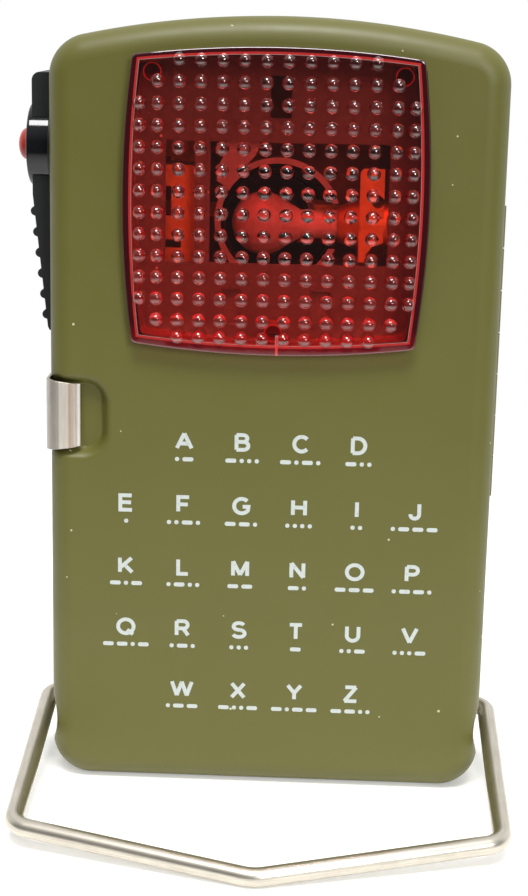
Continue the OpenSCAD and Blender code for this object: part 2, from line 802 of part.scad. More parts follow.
// Return spring under the button's cap
spring_r = 1.75;
coil_r = 0.2;
coils = 2;
coil_steps = 12;
spring_p0 = floor_p + coil_r;
spring_p1 = cap_p - coil_r;

module button_spring() {
  n = coils * coil_steps;
  m = 6;
  color("#c8c8c2") on_left() translate([0, 0, button_z]) polyhedron(
    points = [for (i = [0:n], k = [0:m - 1]) let (a = 360 * i / coil_steps, b = 360 * k / m,
      q = spring_r + coil_r * cos(b))
      [spring_p0 + (spring_p1 - spring_p0) * i / n + coil_r * sin(b), q * cos(a), q * sin(a)]],
    faces = concat(
      [for (i = [0:n - 1], k = [0:m - 1])
        [i * m + k, (i + 1) * m + k, (i + 1) * m + (k + 1) % m, i * m + (k + 1) % m]],
      [[for (k = [0:m - 1]) k]],
      [[for (k = [m - 1:-1:0]) n * m + k]]));
}

module switch_base() {
  x0 = -side - leaf_p + 0.3;
  color("#3b2a1c") {
    block(x0 + 1, -frame_x + 2.5, yp + 2, board_y, button_z - 13, button_z + 9.4);
    block(x0, x0 + 1.1, yp + 2, board_y, button_z - 13, button_z - 8.5);
  }
}

module morse_leaf() {
  x0 = -side - leaf_p;
  color("#c7a34b") block(x0, x0 + 0.3, button_y - 2, button_y + 2, button_z - 12, button_z + 8);
}

module contact_stud() {
  x0 = -side - leaf_p + 1.2;
  color("#c8c8c2") rod_x(x0, x0 + 0.1, 1.4, button_y, button_z + 2);
}

front_shell();
inner_rim();
lens();
lens_frame();
peg_clips();
spacers();
frame_screws();
reflector();
bulb_glass();
bulb_filament();
bulb_base();
bulb_insulator();
bulb_tip();
bulb_holder();
tip_contact();
contact_plus();
contact_minus();
switch_strip();
bulb_strip();
contact_board();
flat_battery();
battery_tab_plus();
battery_tab_minus();
bail_eyelets();
hinge_leaf_front();
hinge_pin();
switch_base();
morse_leaf();
contact_stud();
rear_cover();
hinge_leaf_rear();
battery_pad();
latch_clip();
bail();
switch_slider();
button_collar();
slider_shoe();
button_spring();
morse_button();
button_clip();
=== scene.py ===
# Signal flashlight: the finish of a pressed steel signalling lamp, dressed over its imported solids.
import math

import bmesh
import bpy
from mathutils import Matrix, Vector, geometry


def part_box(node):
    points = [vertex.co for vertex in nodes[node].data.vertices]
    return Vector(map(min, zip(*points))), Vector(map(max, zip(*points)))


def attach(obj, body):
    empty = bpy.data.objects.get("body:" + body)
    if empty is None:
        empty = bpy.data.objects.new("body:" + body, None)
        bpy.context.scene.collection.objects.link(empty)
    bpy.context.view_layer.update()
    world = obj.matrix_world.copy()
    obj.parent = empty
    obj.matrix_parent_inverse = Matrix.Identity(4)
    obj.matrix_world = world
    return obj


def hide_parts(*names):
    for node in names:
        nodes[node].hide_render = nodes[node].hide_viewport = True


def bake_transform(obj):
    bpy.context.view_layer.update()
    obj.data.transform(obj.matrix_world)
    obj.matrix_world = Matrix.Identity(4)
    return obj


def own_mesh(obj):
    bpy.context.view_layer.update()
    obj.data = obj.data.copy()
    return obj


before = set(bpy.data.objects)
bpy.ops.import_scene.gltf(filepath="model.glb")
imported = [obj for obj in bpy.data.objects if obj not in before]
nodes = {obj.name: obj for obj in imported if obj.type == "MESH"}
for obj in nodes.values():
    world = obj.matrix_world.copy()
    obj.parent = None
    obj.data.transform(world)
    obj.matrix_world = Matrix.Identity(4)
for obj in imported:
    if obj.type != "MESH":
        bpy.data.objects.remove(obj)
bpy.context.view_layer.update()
scene = bpy.context.scene
MM = 0.001
QUARTER = math.pi / 2


# Camera
# The lamp is seen from a little above and to its right, from about arm's length.
# Place and angles were worked out from the case's edges, the square lens and the bail in the photograph.
photo_height, focal_length, sensor = 896, 1782, 36.0
eye = Vector((9.1, -308.3, 132.0)) * MM
pitch, yaw, roll = (math.radians(a) for a in (13.71, 2.0, 1.23))
level = Matrix(((1, 0, 0), (0, 0, -1), (0, 1, 0)))
sight = Matrix.Rotation(roll, 3, "Z") @ Matrix.Rotation(pitch, 3, "X") @ Matrix.Rotation(yaw, 3, "Y") @ level
camera = bpy.data.objects.new("camera", bpy.data.cameras.new("camera"))
camera.data.sensor_width = sensor
camera.data.lens = sensor * focal_length / photo_height
camera.data.clip_start = 0.01
camera.matrix_world = Matrix.Translation(eye) @ Matrix((sight[0], -sight[1], -sight[2])).transposed().to_4x4()
scene.collection.objects.link(camera)
scene.camera = camera
scene.view_settings.view_transform = "Standard"


# Studio
# A white table and backdrop in a dim room, under a softbox high in front and a weaker panel from the right.
# Table and backdrop show white to the eye, in gloss and through glass, and light the lamp at a plain level.
def srgb(code):
    """A hex colour as the linear values that shaders take."""
    values = [int(code[i:i + 2], 16) / 255 for i in (1, 3, 5)]
    return [v / 12.92 if v <= 0.04045 else ((v + 0.055) / 1.055) ** 2.4 for v in values] + [1.0]


def feed(tree, node, inputs):
    """Gives a node's inputs their values, or links the sockets that feed them."""
    for name, value in inputs.items():
        if isinstance(value, bpy.types.NodeSocket):
            tree.links.new(value, node.inputs[name])
        else:
            node.inputs[name].default_value = value


def add(tree, kind, settings={}, inputs={}):
    """Adds one node: settings are its own fields, inputs are values or the sockets that feed it."""
    node = tree.nodes.new(kind)
    for name, value in settings.items():
        setattr(node, name, value)
    feed(tree, node, inputs)
    return node


def get(tree, kind, settings={}, inputs={}, output=0):
    """One output of a new node."""
    return add(tree, kind, settings, inputs).outputs[output]


def calc(tree, operation, *values):
    """The result of a sum of one, two or three values."""
    return get(tree, "ShaderNodeMath", {"operation": operation}, dict(enumerate(values)))


def ramp(tree, value, low, high, start=0.0, end=1.0):
    """A value that goes from start to end while another goes from low to high."""
    return get(tree, "ShaderNodeMapRange", {}, {"Value": value, "From Min": low, "From Max": high,
                                                "To Min": start, "To Max": end})


def split(tree, vector):
    """The three parts of a vector, by name."""
    return add(tree, "ShaderNodeSeparateXYZ", {}, {"Vector": vector}).outputs


def find_place(tree):
    """The place of each point on its piece, in metres."""
    return get(tree, "ShaderNodeTexCoord", output="Object")


def new_finish(name):
    """A new material with its tree and its Principled shader."""
    finish = bpy.data.materials.new(name)
    finish.use_nodes = True
    return finish, finish.node_tree, finish.node_tree.nodes["Principled BSDF"]


def add_piece(name, mesh, finish):
    """A new object at the origin, with its place in its mesh."""
    piece = bpy.data.objects.new(name, mesh)
    mesh.materials.clear()
    mesh.materials.append(finish)
    scene.collection.objects.link(piece)
    return piece


def seen_directly(tree):
    """One for rays that look at the background straight, in gloss or through glass, else zero."""
    path = add(tree, "ShaderNodeLightPath").outputs
    mirrored = calc(tree, "MAXIMUM", path["Is Camera Ray"], path["Is Glossy Ray"])
    return calc(tree, "MAXIMUM", mirrored, path["Is Transmission Ray"])


room_light, ceiling_light, backdrop_light = 0.05, 0.4, 0.9
surround = bpy.data.worlds.new("white_backdrop_in_a_dim_room")
surround.use_nodes = True
scene.world = surround
tree = surround.node_tree
heading = split(tree, get(tree, "ShaderNodeTexCoord", output="Generated"))
backdrop = ramp(tree, seen_directly(tree), 0, 1, backdrop_light, 1)
overhead = ramp(tree, heading["Z"], 0.2, 0.7, room_light, ceiling_light)
behind = ramp(tree, heading["Y"], -0.25, 0.1, overhead, backdrop)
straight = get(tree, "ShaderNodeLightPath", output="Is Camera Ray")
feed(tree, tree.nodes["Background"], {"Color": srgb("#ffffff"),
                                      "Strength": calc(tree, "MAXIMUM", behind, straight)})

# White paper, matt to the eye, that fades out round the lamp so that no edge shows
table_reach, table_full, table_glow = 0.3, 0.1, 0.3
table_paper, tree, shader = new_finish("white_table_paper")
far = get(tree, "ShaderNodeVectorMath", {"operation": "LENGTH"}, {0: find_place(tree)}, "Value")
feed(tree, shader, {"Base Color": srgb("#f2f2f0"), "Roughness": 0.9, "Specular IOR Level": 0.1,
                    "Emission Color": srgb("#ffffff"),
                    "Emission Strength": calc(tree, "MULTIPLY", seen_directly(tree), table_glow),
                    "Alpha": ramp(tree, far, table_full, table_reach, 1, 0)})
table_mesh = bpy.data.meshes.new("table")
table_corners = [(x * table_reach, y * table_reach, 0) for x, y in ((-1, -1), (1, -1), (1, 1), (-1, 1))]
table_mesh.from_pydata(table_corners, [], [(0, 1, 2, 3)])
add_piece("table", table_mesh, table_paper)

# The softbox gives the form, and the panel fills its shadows
aim_point = Vector((0, -0.02, 0.09))
for name, place, size, watts in (("softbox", (0.0, -0.63, 1.46), (0.66, 0.42), 20),
                                 ("fill_panel", (0.6, -1.15, 0.62), (0.45, 0.45), 8)):
    lamp = bpy.data.objects.new(name, bpy.data.lights.new(name, "AREA"))
    lamp.data.shape = "RECTANGLE"
    lamp.data.size, lamp.data.size_y = size
    lamp.data.energy = watts
    lamp.location = place
    lamp.rotation_euler = (aim_point - lamp.location).to_track_quat("-Z", "Y").to_euler()
    scene.collection.objects.link(lamp)


# Painted case
# Two halves pressed from thin steel, with a crowned top and a rolled edge, sprayed in satin olive enamel.
# The front half has the window, a finger recess beside the clip, and dished seats for the bail.
def tone(tree, share, first, second):
    """A colour between two others, each a hex code, linear values or a socket."""
    first, second = (srgb(c) if isinstance(c, str) else c for c in (first, second))
    return get(tree, "ShaderNodeMix", {"data_type": "RGBA"}, {0: share, 6: first, 7: second}, 2)


def noise(tree, place, size, detail):
    """Soft random values in patches of about the given size."""
    return get(tree, "ShaderNodeTexNoise", {}, {"Vector": place, "Scale": 1 / size, "Detail": detail})


def bumps(tree, height, strength, distance):
    """Relief too fine to model, from a pattern's values."""
    return get(tree, "ShaderNodeBump", {}, {"Height": height, "Strength": strength, "Distance": distance})


def add_paint(name, colour, other):
    """Sprayed enamel on steel: an even satin skin with faint orange peel, dust specks and slow shading."""
    finish, tree, shader = new_finish(name)
    cloud_size, speck_pitch, rub_size, peel_size, peel_depth = 24 * MM, 9 * MM, 7 * MM, 1.1 * MM, 0.05 * MM
    speck_from, speck_reach = 0.62, 0.026
    place = find_place(tree)
    shaded = tone(tree, noise(tree, place, cloud_size, 3), colour, other)
    # A slanted projection spreads the specks over every side without streaks
    part = split(tree, place)
    across = calc(tree, "MULTIPLY_ADD", part["Y"], 0.7, part["X"])
    along = calc(tree, "MULTIPLY_ADD", part["Y"], 0.45, part["Z"])
    flat = get(tree, "ShaderNodeCombineXYZ", {}, {"X": across, "Y": along})
    specks = add(tree, "ShaderNodeTexVoronoi", {"voronoi_dimensions": "2D"},
                 {"Vector": flat, "Scale": 1 / speck_pitch}).outputs
    lot = get(tree, "ShaderNodeSeparateColor", {}, {"Color": specks["Color"]})
    speck = calc(tree, "LESS_THAN", specks["Distance"], ramp(tree, lot, speck_from, 1, 0, speck_reach))
    rub = noise(tree, place, rub_size, 4)
    peel = noise(tree, place, peel_size, 2)
    feed(tree, shader, {"Base Color": tone(tree, speck, shaded, "#c9c7a4"),
                        "Roughness": ramp(tree, rub, 0.3, 0.7, 0.42, 0.5),
                        "Normal": bumps(tree, peel, 0.1, peel_depth)})
    return finish


olive_paint = add_paint("olive_enamel_on_steel", "#626028", "#66642c")

case_low, case_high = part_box("front_shell")
side, front_y, parting_y = case_high.x, case_low.y, case_high.y
back_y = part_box("rear_cover")[1].y
sheet_steel, plain_step, base_step = 0.8 * MM, 9 * MM, 6 * MM
fine_step, recess_step, cover_step, wall_step = 0.45 * MM, 0.25 * MM, 4 * MM, 1.5 * MM
front_rings, cover_rings = 34, 4
roll_steps, corner_steps, top_steps, crown_steps = 14, 22, 16, 40
crown_radius, corner_radius, edge_radius = 150 * MM, 7 * MM, 4 * MM
corner_x = side - corner_radius
crown_z = case_high.z - crown_radius
crown_angle = math.asin(corner_x / (crown_radius - corner_radius))
corner_top = crown_z + (crown_radius - corner_radius) * math.cos(crown_angle)


def even(first, last, count):
    """Even values from the first to the last, with a number of steps between them."""
    return [first + (last - first) * i / count for i in range(count + 1)]


def spread(low, high, step):
    """Even values from low to high, no further apart than step."""
    return even(low, high, max(1, math.ceil(abs(high - low) / step - 1e-6)))


def stations(stops, fine):
    """Values through all stops in order; the step is fine where the stretch between two stops is marked."""
    values = [stops[0][0]]
    for (low, dense), (high, _) in zip(stops, stops[1:]):
        values += spread(low, high, fine if dense else plain_step)[1:]
    return values


def arc(x, z, radius, first, last, count):
    """Points along an arc in a flat view."""
    return [(x + radius * math.cos(a), z + radius * math.sin(a)) for a in even(first, last, count)]


def round_corner(x, z, radius, first, last, count):
    """Points and outward directions along an arc, without its last point."""
    return [(x + radius * u, z + radius * w, u, w) for u, w in arc(0, 0, 1, first, last, count)[:-1]]


def case_line(right, left):
    """The case's outline, from the lower left corner round to it again, as points with outward directions."""
    top_left, top_right = QUARTER + crown_angle, QUARTER - crown_angle
    line = [(x, 0.0, 0.0, -1.0) for x in spread(-corner_x, corner_x, base_step)[:-1]]
    line += round_corner(corner_x, corner_radius, corner_radius, -QUARTER, 0, corner_steps)
    line += [(side, z, 1.0, 0.0) for z in right[:-1]]
    line += round_corner(corner_x, corner_top, corner_radius, 0, top_right, top_steps)
    line += round_corner(0, crown_z, crown_radius, top_right, top_left, crown_steps)
    line += round_corner(-corner_x, corner_top, corner_radius, top_left, 2 * QUARTER, top_steps)
    line += [(-side, z, -1.0, 0.0) for z in reversed(left[1:])]
    line += round_corner(-corner_x, corner_radius, corner_radius, 2 * QUARTER, 3 * QUARTER, corner_steps)
    return line


def add_solid(name, mesh, finish, sharp=None):
    """A piece from a bmesh: smooth up to a sharp angle in degrees, or flat."""
    data = bpy.data.meshes.new(name)
    mesh.to_mesh(data)
    mesh.free()
    if "custom_normal" in data.attributes:
        data.attributes.remove(data.attributes["custom_normal"])
    if sharp:
        data.polygons.foreach_set("use_smooth", [True] * len(data.polygons))
        data.set_sharp_from_angle(angle=math.radians(sharp))
    return add_piece(name, data, finish)


def modify(piece, name, kind, **settings):
    """Adds one modifier."""
    modifier = piece.modifiers.new(name, kind)
    for field, value in settings.items():
        setattr(modifier, field, value)


def round_edges(piece, name, width, segments, angle):
    """Rounds the edges that turn by more than an angle in degrees, so that they catch the light."""
    modify(piece, name, "BEVEL", width=width, segments=segments, limit_method="ANGLE",
           angle_limit=math.radians(angle), harden_normals=True)


def inside_line(point, line):
    """True if a flat point lies inside a closed line of points."""
    crossings = 0
    for (ax, az), (bx, bz) in zip(line, line[1:] + line[:1]):
        if (az > point[1]) != (bz > point[1]):
            crossings += point[0] < ax + (point[1] - az) * (bx - ax) / (bz - az)
    return crossings % 2 == 1


def fill_sheet(mesh, y, rim, holes, is_hole, corners=()):
    """Fills a flat rim at depth y with faces, apart from its holes, on the rim's own corners if given."""
    points, edges = [], []
    for loop in [rim] + holes:
        first, count = len(points), len(loop)
        points += [Vector(p) for p in loop]
        edges += [(first + i, first + (i + 1) % count) for i in range(count)]
    points, _, faces, origin, _, _ = geometry.delaunay_2d_cdt(points, edges, [], 1, 1e-8)
    made = [corners[o[0]] if o and o[0] < len(corners) else mesh.verts.new((p.x, y, p.y))
            for p, o in zip(points, origin)]
    for face in faces:
        if not is_hole(sum((points[i] for i in face), Vector((0, 0))) / 3):
            mesh.faces.new([made[i] for i in face])


def add_pressing(name, line, depths, face_y, face_reach, face_rings, shape, is_open, window):
    """One half of the case: rings of its outline, from the parting edge round the rolled edge to the face."""
    out = 1 if face_y > depths[0] else -1
    rings = [[(x, y, z) for x, z, u, w in line] for y in depths]
    for turn in even(0, QUARTER, roll_steps)[1:]:
        inset = edge_radius * (1 - math.cos(turn))
        y = face_y - out * edge_radius * (1 - math.sin(turn))
        rings.append([(x - u * inset, y, z - w * inset) for x, z, u, w in line])
    for i in range(1, face_rings + 1):
        insets = [edge_radius + (reach - edge_radius) * i / face_rings for reach in face_reach]
        rings.append([(x - u * d, face_y, z - w * d) for (x, z, u, w), d in zip(line, insets)])
    mesh = bmesh.new()
    grid = [[mesh.verts.new(shape(Vector(p))) for p in ring] for ring in rings]
    count = len(line)
    for a, b in zip(grid, grid[1:]):
        for i in range(count):
            k = (i + 1) % count
            corners = (a[i], a[k], b[k], b[i])
            if not is_open(sum((v.co for v in corners), Vector()) / 4):
                mesh.faces.new(corners)
    # The flat middle of the face, with the window left out of it
    rim = [(v.co.x, v.co.z) for v in grid[-1]]
    fill_sheet(mesh, face_y, rim, [window], lambda p: inside_line(p, window), grid[-1])
    loose = [v for v in mesh.verts if not v.link_faces]
    bmesh.ops.delete(mesh, geom=loose, context="VERTS")
    bmesh.ops.recalc_face_normals(mesh, faces=mesh.faces)
    facing = max(mesh.faces, key=lambda f: f.calc_area())
    if facing.normal.y * out < 0:
        bmesh.ops.reverse_faces(mesh, faces=mesh.faces)
    piece = add_solid(name, mesh, olive_paint, 50)
    modify(piece, "sheet_thickness", "SOLIDIFY", thickness=sheet_steel, offset=-1, use_even_offset=True)
    round_edges(piece, "painted_edges", 0.15 * MM, 2, 50)
    return piece


def ease(t):
    """A smooth step from 0 to 1."""
    t = min(1.0, max(0.0, t))
    return t * t * (3 - 2 * t)


def soft_least(a, b, blend):
    """The smaller of two sizes, rounded off where they are close."""
    near = max(blend - abs(a - b), 0) / blend
    return min(a, b) - near * near * blend / 4


# The lens window: a square whose sides bulge, with rounded corners
lens_z = 102 * MM
lens_half, lens_bulge, lens_corner, lens_play = 24.9 * MM, 1.6 * MM, 0.9 * MM, 0.15 * MM


def bulged_square(half):
    """Points of the lens's outline, 104 for any size, so that outlines of two sizes can be joined."""
    corner = half - lens_bulge
    radius = (corner ** 2 + lens_bulge ** 2) / (2 * lens_bulge)
    back = radius - half
    centre = (math.sqrt(2 * (radius - lens_corner) ** 2 - back ** 2) - back) / 2
    reach = math.atan2(centre, centre + back)
    one_side = arc(-back, 0, radius, -reach, reach, 20)[:-1]
    one_side += arc(centre, centre, lens_corner, reach, QUARTER - reach, 6)[:-1]
    line = []
    for quarter in range(4):
        c, s = math.cos(quarter * QUARTER), math.sin(quarter * QUARTER)
        line += [(c * x - s * z, s * x + c * z + lens_z) for x, z in one_side]
    return line


# Finger recess beside the clip, bail seats, switch slot and hinge notch, as on the solids
clip_low, clip_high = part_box("latch_clip")
clip_middle = (clip_low.z + clip_high.z) / 2
recess_end = -side + 9.75 * MM
recess_low, recess_high = clip_middle - 6.6 * MM, clip_middle + 6.2 * MM
recess_round, recess_depth, recess_soft, recess_run = 4 * MM, 2.1 * MM, 0.85 * MM, 8 * MM
pivot_y, pivot_z, seat_x, seat_top = -3.5 * MM, 10.9 * MM, side - 5 * MM, 30 * MM
dish_outer, dish_inner, dish_depth, dish_soft = 7 * MM, 4.8 * MM, 1.1 * MM, 0.4 * MM
groove_radius, groove_set, groove_drop, eyelet_hole = 10 * MM, 9.1 * MM, 0.5 * MM, 2.3 * MM
slot_low, slot_high = Vector((-7.2, 0, 98.4)) * MM, Vector((-1.8, 0, 116.0)) * MM
hinge_low, hinge_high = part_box("hinge_pin")
notch_low, notch_high, notch_depth = hinge_low.z - 0.4 * MM, hinge_high.z + 0.4 * MM, 1.57 * MM


def press_front(p):
    """Moves a point of the plain front half to where the press tool puts it."""
    across = p.x - (recess_end - recess_round)
    up = abs(p.z - (recess_low + recess_high) / 2) - ((recess_high - recess_low) / 2 - recess_round)
    reach = min(max(across, up), 0) + math.hypot(max(across, 0), max(up, 0)) - recess_round
    slope = min(1.0, max(0.0, (recess_soft - reach) / (2 * recess_soft)))
    depth = recess_depth * slope * slope * (1.6 - 0.6 * slope)
    if p.x < 0:
        p.y += depth * ease((front_y + edge_radius + recess_run - p.y) / recess_run)
    sign = 1 if p.x > 0 else -1
    x = abs(p.x)
    if x > seat_x and p.z < seat_top:
        radius = math.hypot(p.y - pivot_y, p.z - pivot_z)
        cone = dish_depth * min(1.0, (dish_outer - radius) / (dish_outer - dish_inner))
        x = soft_least(x, side - cone, dish_soft)
        if p.y < pivot_y:
            drop = p.z - (pivot_z - groove_drop)
            groove = side + groove_set - math.sqrt(max(0, groove_radius ** 2 - drop ** 2))
            x = soft_least(x, groove, dish_soft)
        p.x = sign * x
    return p


def is_cut(p, low, high):
    """True inside an opening in the left side, between two corners whose first part is the depth."""
    return p.x < -side + MM and low.x < p.y < high.x and low.z < p.z < high.z


def front_open(p):
    """True where the front half is cut away: switch slot, eyelet holes and hinge notch."""
    eyelet = math.hypot(p.y - pivot_y, p.z - pivot_z) < eyelet_hole and abs(p.x) > side - 2 * MM
    notch = p.x > side - MM and notch_low < p.z < notch_high and p.y > parting_y - notch_depth
    return is_cut(p, slot_low, slot_high) or eyelet or notch


bail_zone = pivot_z + 8 * MM
left_stops = [(corner_radius, True), (bail_zone, False), (recess_low - 2 * MM, True),
              (recess_high + 2 * MM, False), (slot_low.z, False), (slot_high.z, False), (corner_top, False)]
right_stops = [(corner_radius, True), (bail_zone, False), (notch_low, False), (notch_high, False),
               (corner_top, False)]
front_line = case_line(stations(right_stops, fine_step), stations(left_stops, recess_step))
front_stops = [parting_y, parting_y - notch_depth, slot_high.x, slot_low.x, front_y + edge_radius]
front_depths = stations([(stop, True) for stop in front_stops], fine_step)
face_plain, face_deeper, face_zone, face_ease = 6 * MM, 6.5 * MM, 10 * MM, 7 * MM
face_reach = []
for x, z, u, w in front_line:
    beside = ease((recess_high + face_zone - z) / face_ease) * ease((z - recess_low + face_zone) / face_ease)
    face_reach.append(face_plain + face_deeper * beside * (x < 0))
case_front = add_pressing("case_front", front_line, front_depths, front_y, face_reach, front_rings,
                          press_front, front_open, bulged_square(lens_half + lens_play))
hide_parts("front_shell")
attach(case_front, "case")

hook_low, hook_high = Vector((10.45, 0, 62.2)) * MM, Vector((12.45, 0, 69.0)) * MM


def cover_open(p):
    """True where the rear cover is cut away: slot for the clip's hook and hinge notch."""
    notch = p.x > side - MM and notch_low < p.z < notch_high and p.y < parting_y + notch_depth
    return is_cut(p, hook_low, hook_high) or notch


cover_stops = [(z, False) for z in (corner_radius, hook_low.z, hook_high.z, corner_top)]
cover_line = case_line(stations(right_stops, cover_step), stations(cover_stops, cover_step))
back_stops = [parting_y, parting_y + notch_depth, hook_low.x, hook_high.x, back_y - edge_radius]
cover_depths = stations([(stop, True) for stop in back_stops], wall_step)
case_cover = add_pressing("case_cover", cover_line, cover_depths, back_y, [face_plain] * len(cover_line),
                          cover_rings, lambda p: p, cover_open, [])
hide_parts("rear_cover")
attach(case_cover, "cover")


def dress(finish, *names):
    """Gives solids their finish."""
    for name in names:
        nodes[name].data.materials.clear()
        nodes[name].data.materials.append(finish)


dress(olive_paint, "inner_rim", "hinge_leaf_front", "hinge_leaf_rear")


# Lens
# A square cap moulded in clear red plastic: bulged sides, a skirt, three pegs, and rows of beads on its face.
# The beads are one dome that Geometry Nodes sets on each place, welded on so that light sees one body.
lens_front, lens_back, lens_foot = -19.5 * MM, -17.5 * MM, -11 * MM
lens_wall, lens_edge, lens_inner_edge, weld = 1.3 * MM, 0.3 * MM, 0.2 * MM, 0.005 * MM
bead_radius, bead_height, bead_pitch, bead_edge = 1.13 * MM, 0.95 * MM, 3.5 * MM, 2.85 * MM
bead_sides, bead_rings = 16, 5
peg_radius, peg_end, peg_sides = 1.3 * MM, -9 * MM, 20
peg_places = [(-20.2 * MM, lens_z + 20.6 * MM), (20.2 * MM, lens_z + 20.6 * MM), (0, lens_z - 21.3 * MM)]
steps = [(i - 5.5) * bead_pitch for i in range(12)]
edge_bead, top_bead = steps[-1] + bead_edge, steps[-1] + bead_pitch - 0.1 * MM
bead_places = [(x, z) for x in steps for z in steps]
for step in steps[1:-1]:
    bead_places += [(step, top_bead), (step, -edge_bead), (-edge_bead, step), (edge_bead, step)]
bead_places = [(x, z + lens_z) for x, z in bead_places]


def circle(x, z, radius, count):
    """Points of a circle in the front view."""
    return arc(x, z, radius, 0, 4 * QUARTER, count)[:-1]


def join_rings(mesh, rings):
    """Faces between each ring of corners and the next."""
    for a, b in zip(rings, rings[1:]):
        for i in range(len(a)):
            mesh.faces.new((a[i - 1], a[i], b[i], b[i - 1]))


def node_group(name, **inputs):
    """A new tree of Geometry Nodes, and the sockets of its named inputs."""
    tree = bpy.data.node_groups.new(name, "GeometryNodeTree")
    for socket, kind in inputs.items():
        tree.interface.new_socket(socket, in_out="INPUT", socket_type="NodeSocket" + kind)
    tree.interface.new_socket("Made", in_out="OUTPUT", socket_type="NodeSocketGeometry")
    return tree, add(tree, "NodeGroupInput").outputs


def end_group(tree, made, material):
    """Gives what a tree made its material, and hands it out."""
    real = get(tree, "GeometryNodeRealizeInstances", {}, {"Geometry": made})
    shown = get(tree, "GeometryNodeSetMaterial", {}, {"Geometry": real, "Material": material})
    add(tree, "NodeGroupOutput", {}, {"Made": shown})


def run_nodes(tree, source, **values):
    """Runs a node tree on a mesh or curve with the named values, and gives the result as a plain mesh."""
    holder = bpy.data.objects.new("holder", source)
    scene.collection.objects.link(holder)
    maker = holder.modifiers.new("maker", "NODES")
    maker.node_group = tree
    for item in tree.interface.items_tree:
        if item.item_type == "SOCKET" and item.in_out == "INPUT" and item.name in values:
            maker[item.identifier] = values[item.name]
    ready = holder.evaluated_get(bpy.context.evaluated_depsgraph_get())
    made = bpy.data.meshes.new_from_object(ready)
    holder.modifiers.remove(maker)
    bpy.data.objects.remove(holder)
    return made


def place_mesh(name, places):
    """A mesh of loose points, for a node tree to set something on."""
    mesh = bpy.data.meshes.new(name)
    mesh.from_pydata(places, [], [])
    return mesh


# A dome on each point, cut from a ball: (radius squared + height squared) / twice the height
domes, given = node_group("lens_beads", Places="Geometry", Radius="Float", Height="Float",
                          Material="Material")
radius, height = given["Radius"], given["Height"]
squares = calc(domes, "MULTIPLY_ADD", height, height, calc(domes, "MULTIPLY", radius, radius))
ball = calc(domes, "DIVIDE", squares, calc(domes, "MULTIPLY", height, 2))
reach = calc(domes, "ARCSINE", calc(domes, "DIVIDE", radius, ball))
# A grid wrapped round: across it goes round the dome, along it goes from the top to the foot
grid = add(domes, "GeometryNodeMeshGrid", {},
           {"Vertices X": bead_sides + 1, "Vertices Y": bead_rings}).outputs
part = split(domes, grid["UV Map"])
spot = get(domes, "ShaderNodeVectorMath", {"operation": "SCALE"}, {0: (0, -1, 0), "Scale": ball})
for axis, angle in (("X_AXIS", calc(domes, "MULTIPLY", part["Y"], reach)),
                    ("Y_AXIS", calc(domes, "MULTIPLY", part["X"], 4 * QUARTER))):
    spot = get(domes, "ShaderNodeVectorRotate", {"rotation_type": axis}, {"Vector": spot, "Angle": angle})
seat = get(domes, "ShaderNodeCombineXYZ", {}, {"Y": calc(domes, "SUBTRACT", ball, height)})
dome = get(domes, "GeometryNodeSetPosition", {}, {"Geometry": grid["Mesh"], "Position": spot, "Offset": seat})
closed = get(domes, "GeometryNodeMergeByDistance", {}, {"Geometry": dome, "Distance": weld})
beads = get(domes, "GeometryNodeInstanceOnPoints", {}, {"Points": given["Places"], "Instance": closed})
end_group(domes, beads, given["Material"])

# Clear red plastic, polished by its mould: a tinted body, darker where thick, that lets lamp light through.
# Along the edge the deep skirt gets a painted near-black shade, lighter along the bottom, with a painted
# bright red highlight line at its inner corner
red_clear, tree, shader = new_finish("clear_red_plastic")
rim_inset, rim_line, rim_lift, fade = 1.0 * MM, 0.42 * MM, 0.25 * MM, 0.1 * MM
pale_from, pale_to = -20 * MM, -23.5 * MM
soak_colour, soak_density = (0.965, 0.25, 0.16, 1.0), 720.0
skirt_at = lens_half - rim_inset
line_at = skirt_at - rim_line
place = find_place(tree)
part = split(tree, place)
up = calc(tree, "SUBTRACT", part["Z"], lens_z + rim_lift)
reach = [calc(tree, "MULTIPLY_ADD", calc(tree, "MULTIPLY", other, other), lens_bulge / lens_half ** 2,
              calc(tree, "ABSOLUTE", one)) for one, other in ((part["X"], up), (up, part["X"]))]
outer = calc(tree, "MAXIMUM", *reach)
rim = ramp(tree, outer, line_at - fade, line_at)
pegs = ramp(tree, part["Y"], lens_back + 3 * fade, lens_back + 5 * fade)
# Painted shade for the rim band: nearly black, lighter along the bottom side where more light falls
painted_rim_shade = tone(tree, ramp(tree, up, pale_from, pale_to), "#3a050d", "#6c0a13")
# Inside the band, a painted bright red highlight line at the skirt's inner corner
edge = tone(tree, ramp(tree, outer, skirt_at - fade, skirt_at), "#b8302c", painted_rim_shade)

# Mould seam where the plastic ran in, from the low peg to the edge, and a painted bright highlight ring round
# each peg
seam_x, seam_top, seam_half, ring_reach = 0.7 * MM, -21.6 * MM, 0.26 * MM, 0.2 * MM
aside = calc(tree, "ABSOLUTE", calc(tree, "SUBTRACT", part["X"], seam_x))
below = ramp(tree, up, seam_top, seam_top - 3 * fade)
seam_and_peg_glints = calc(tree, "MULTIPLY", ramp(tree, aside, seam_half, seam_half - fade), below)
at_back = calc(tree, "GREATER_THAN", part["Y"], lens_back - fade)
level = get(tree, "ShaderNodeVectorMath", {"operation": "MULTIPLY"}, {0: place, 1: (1, 0, 1)})
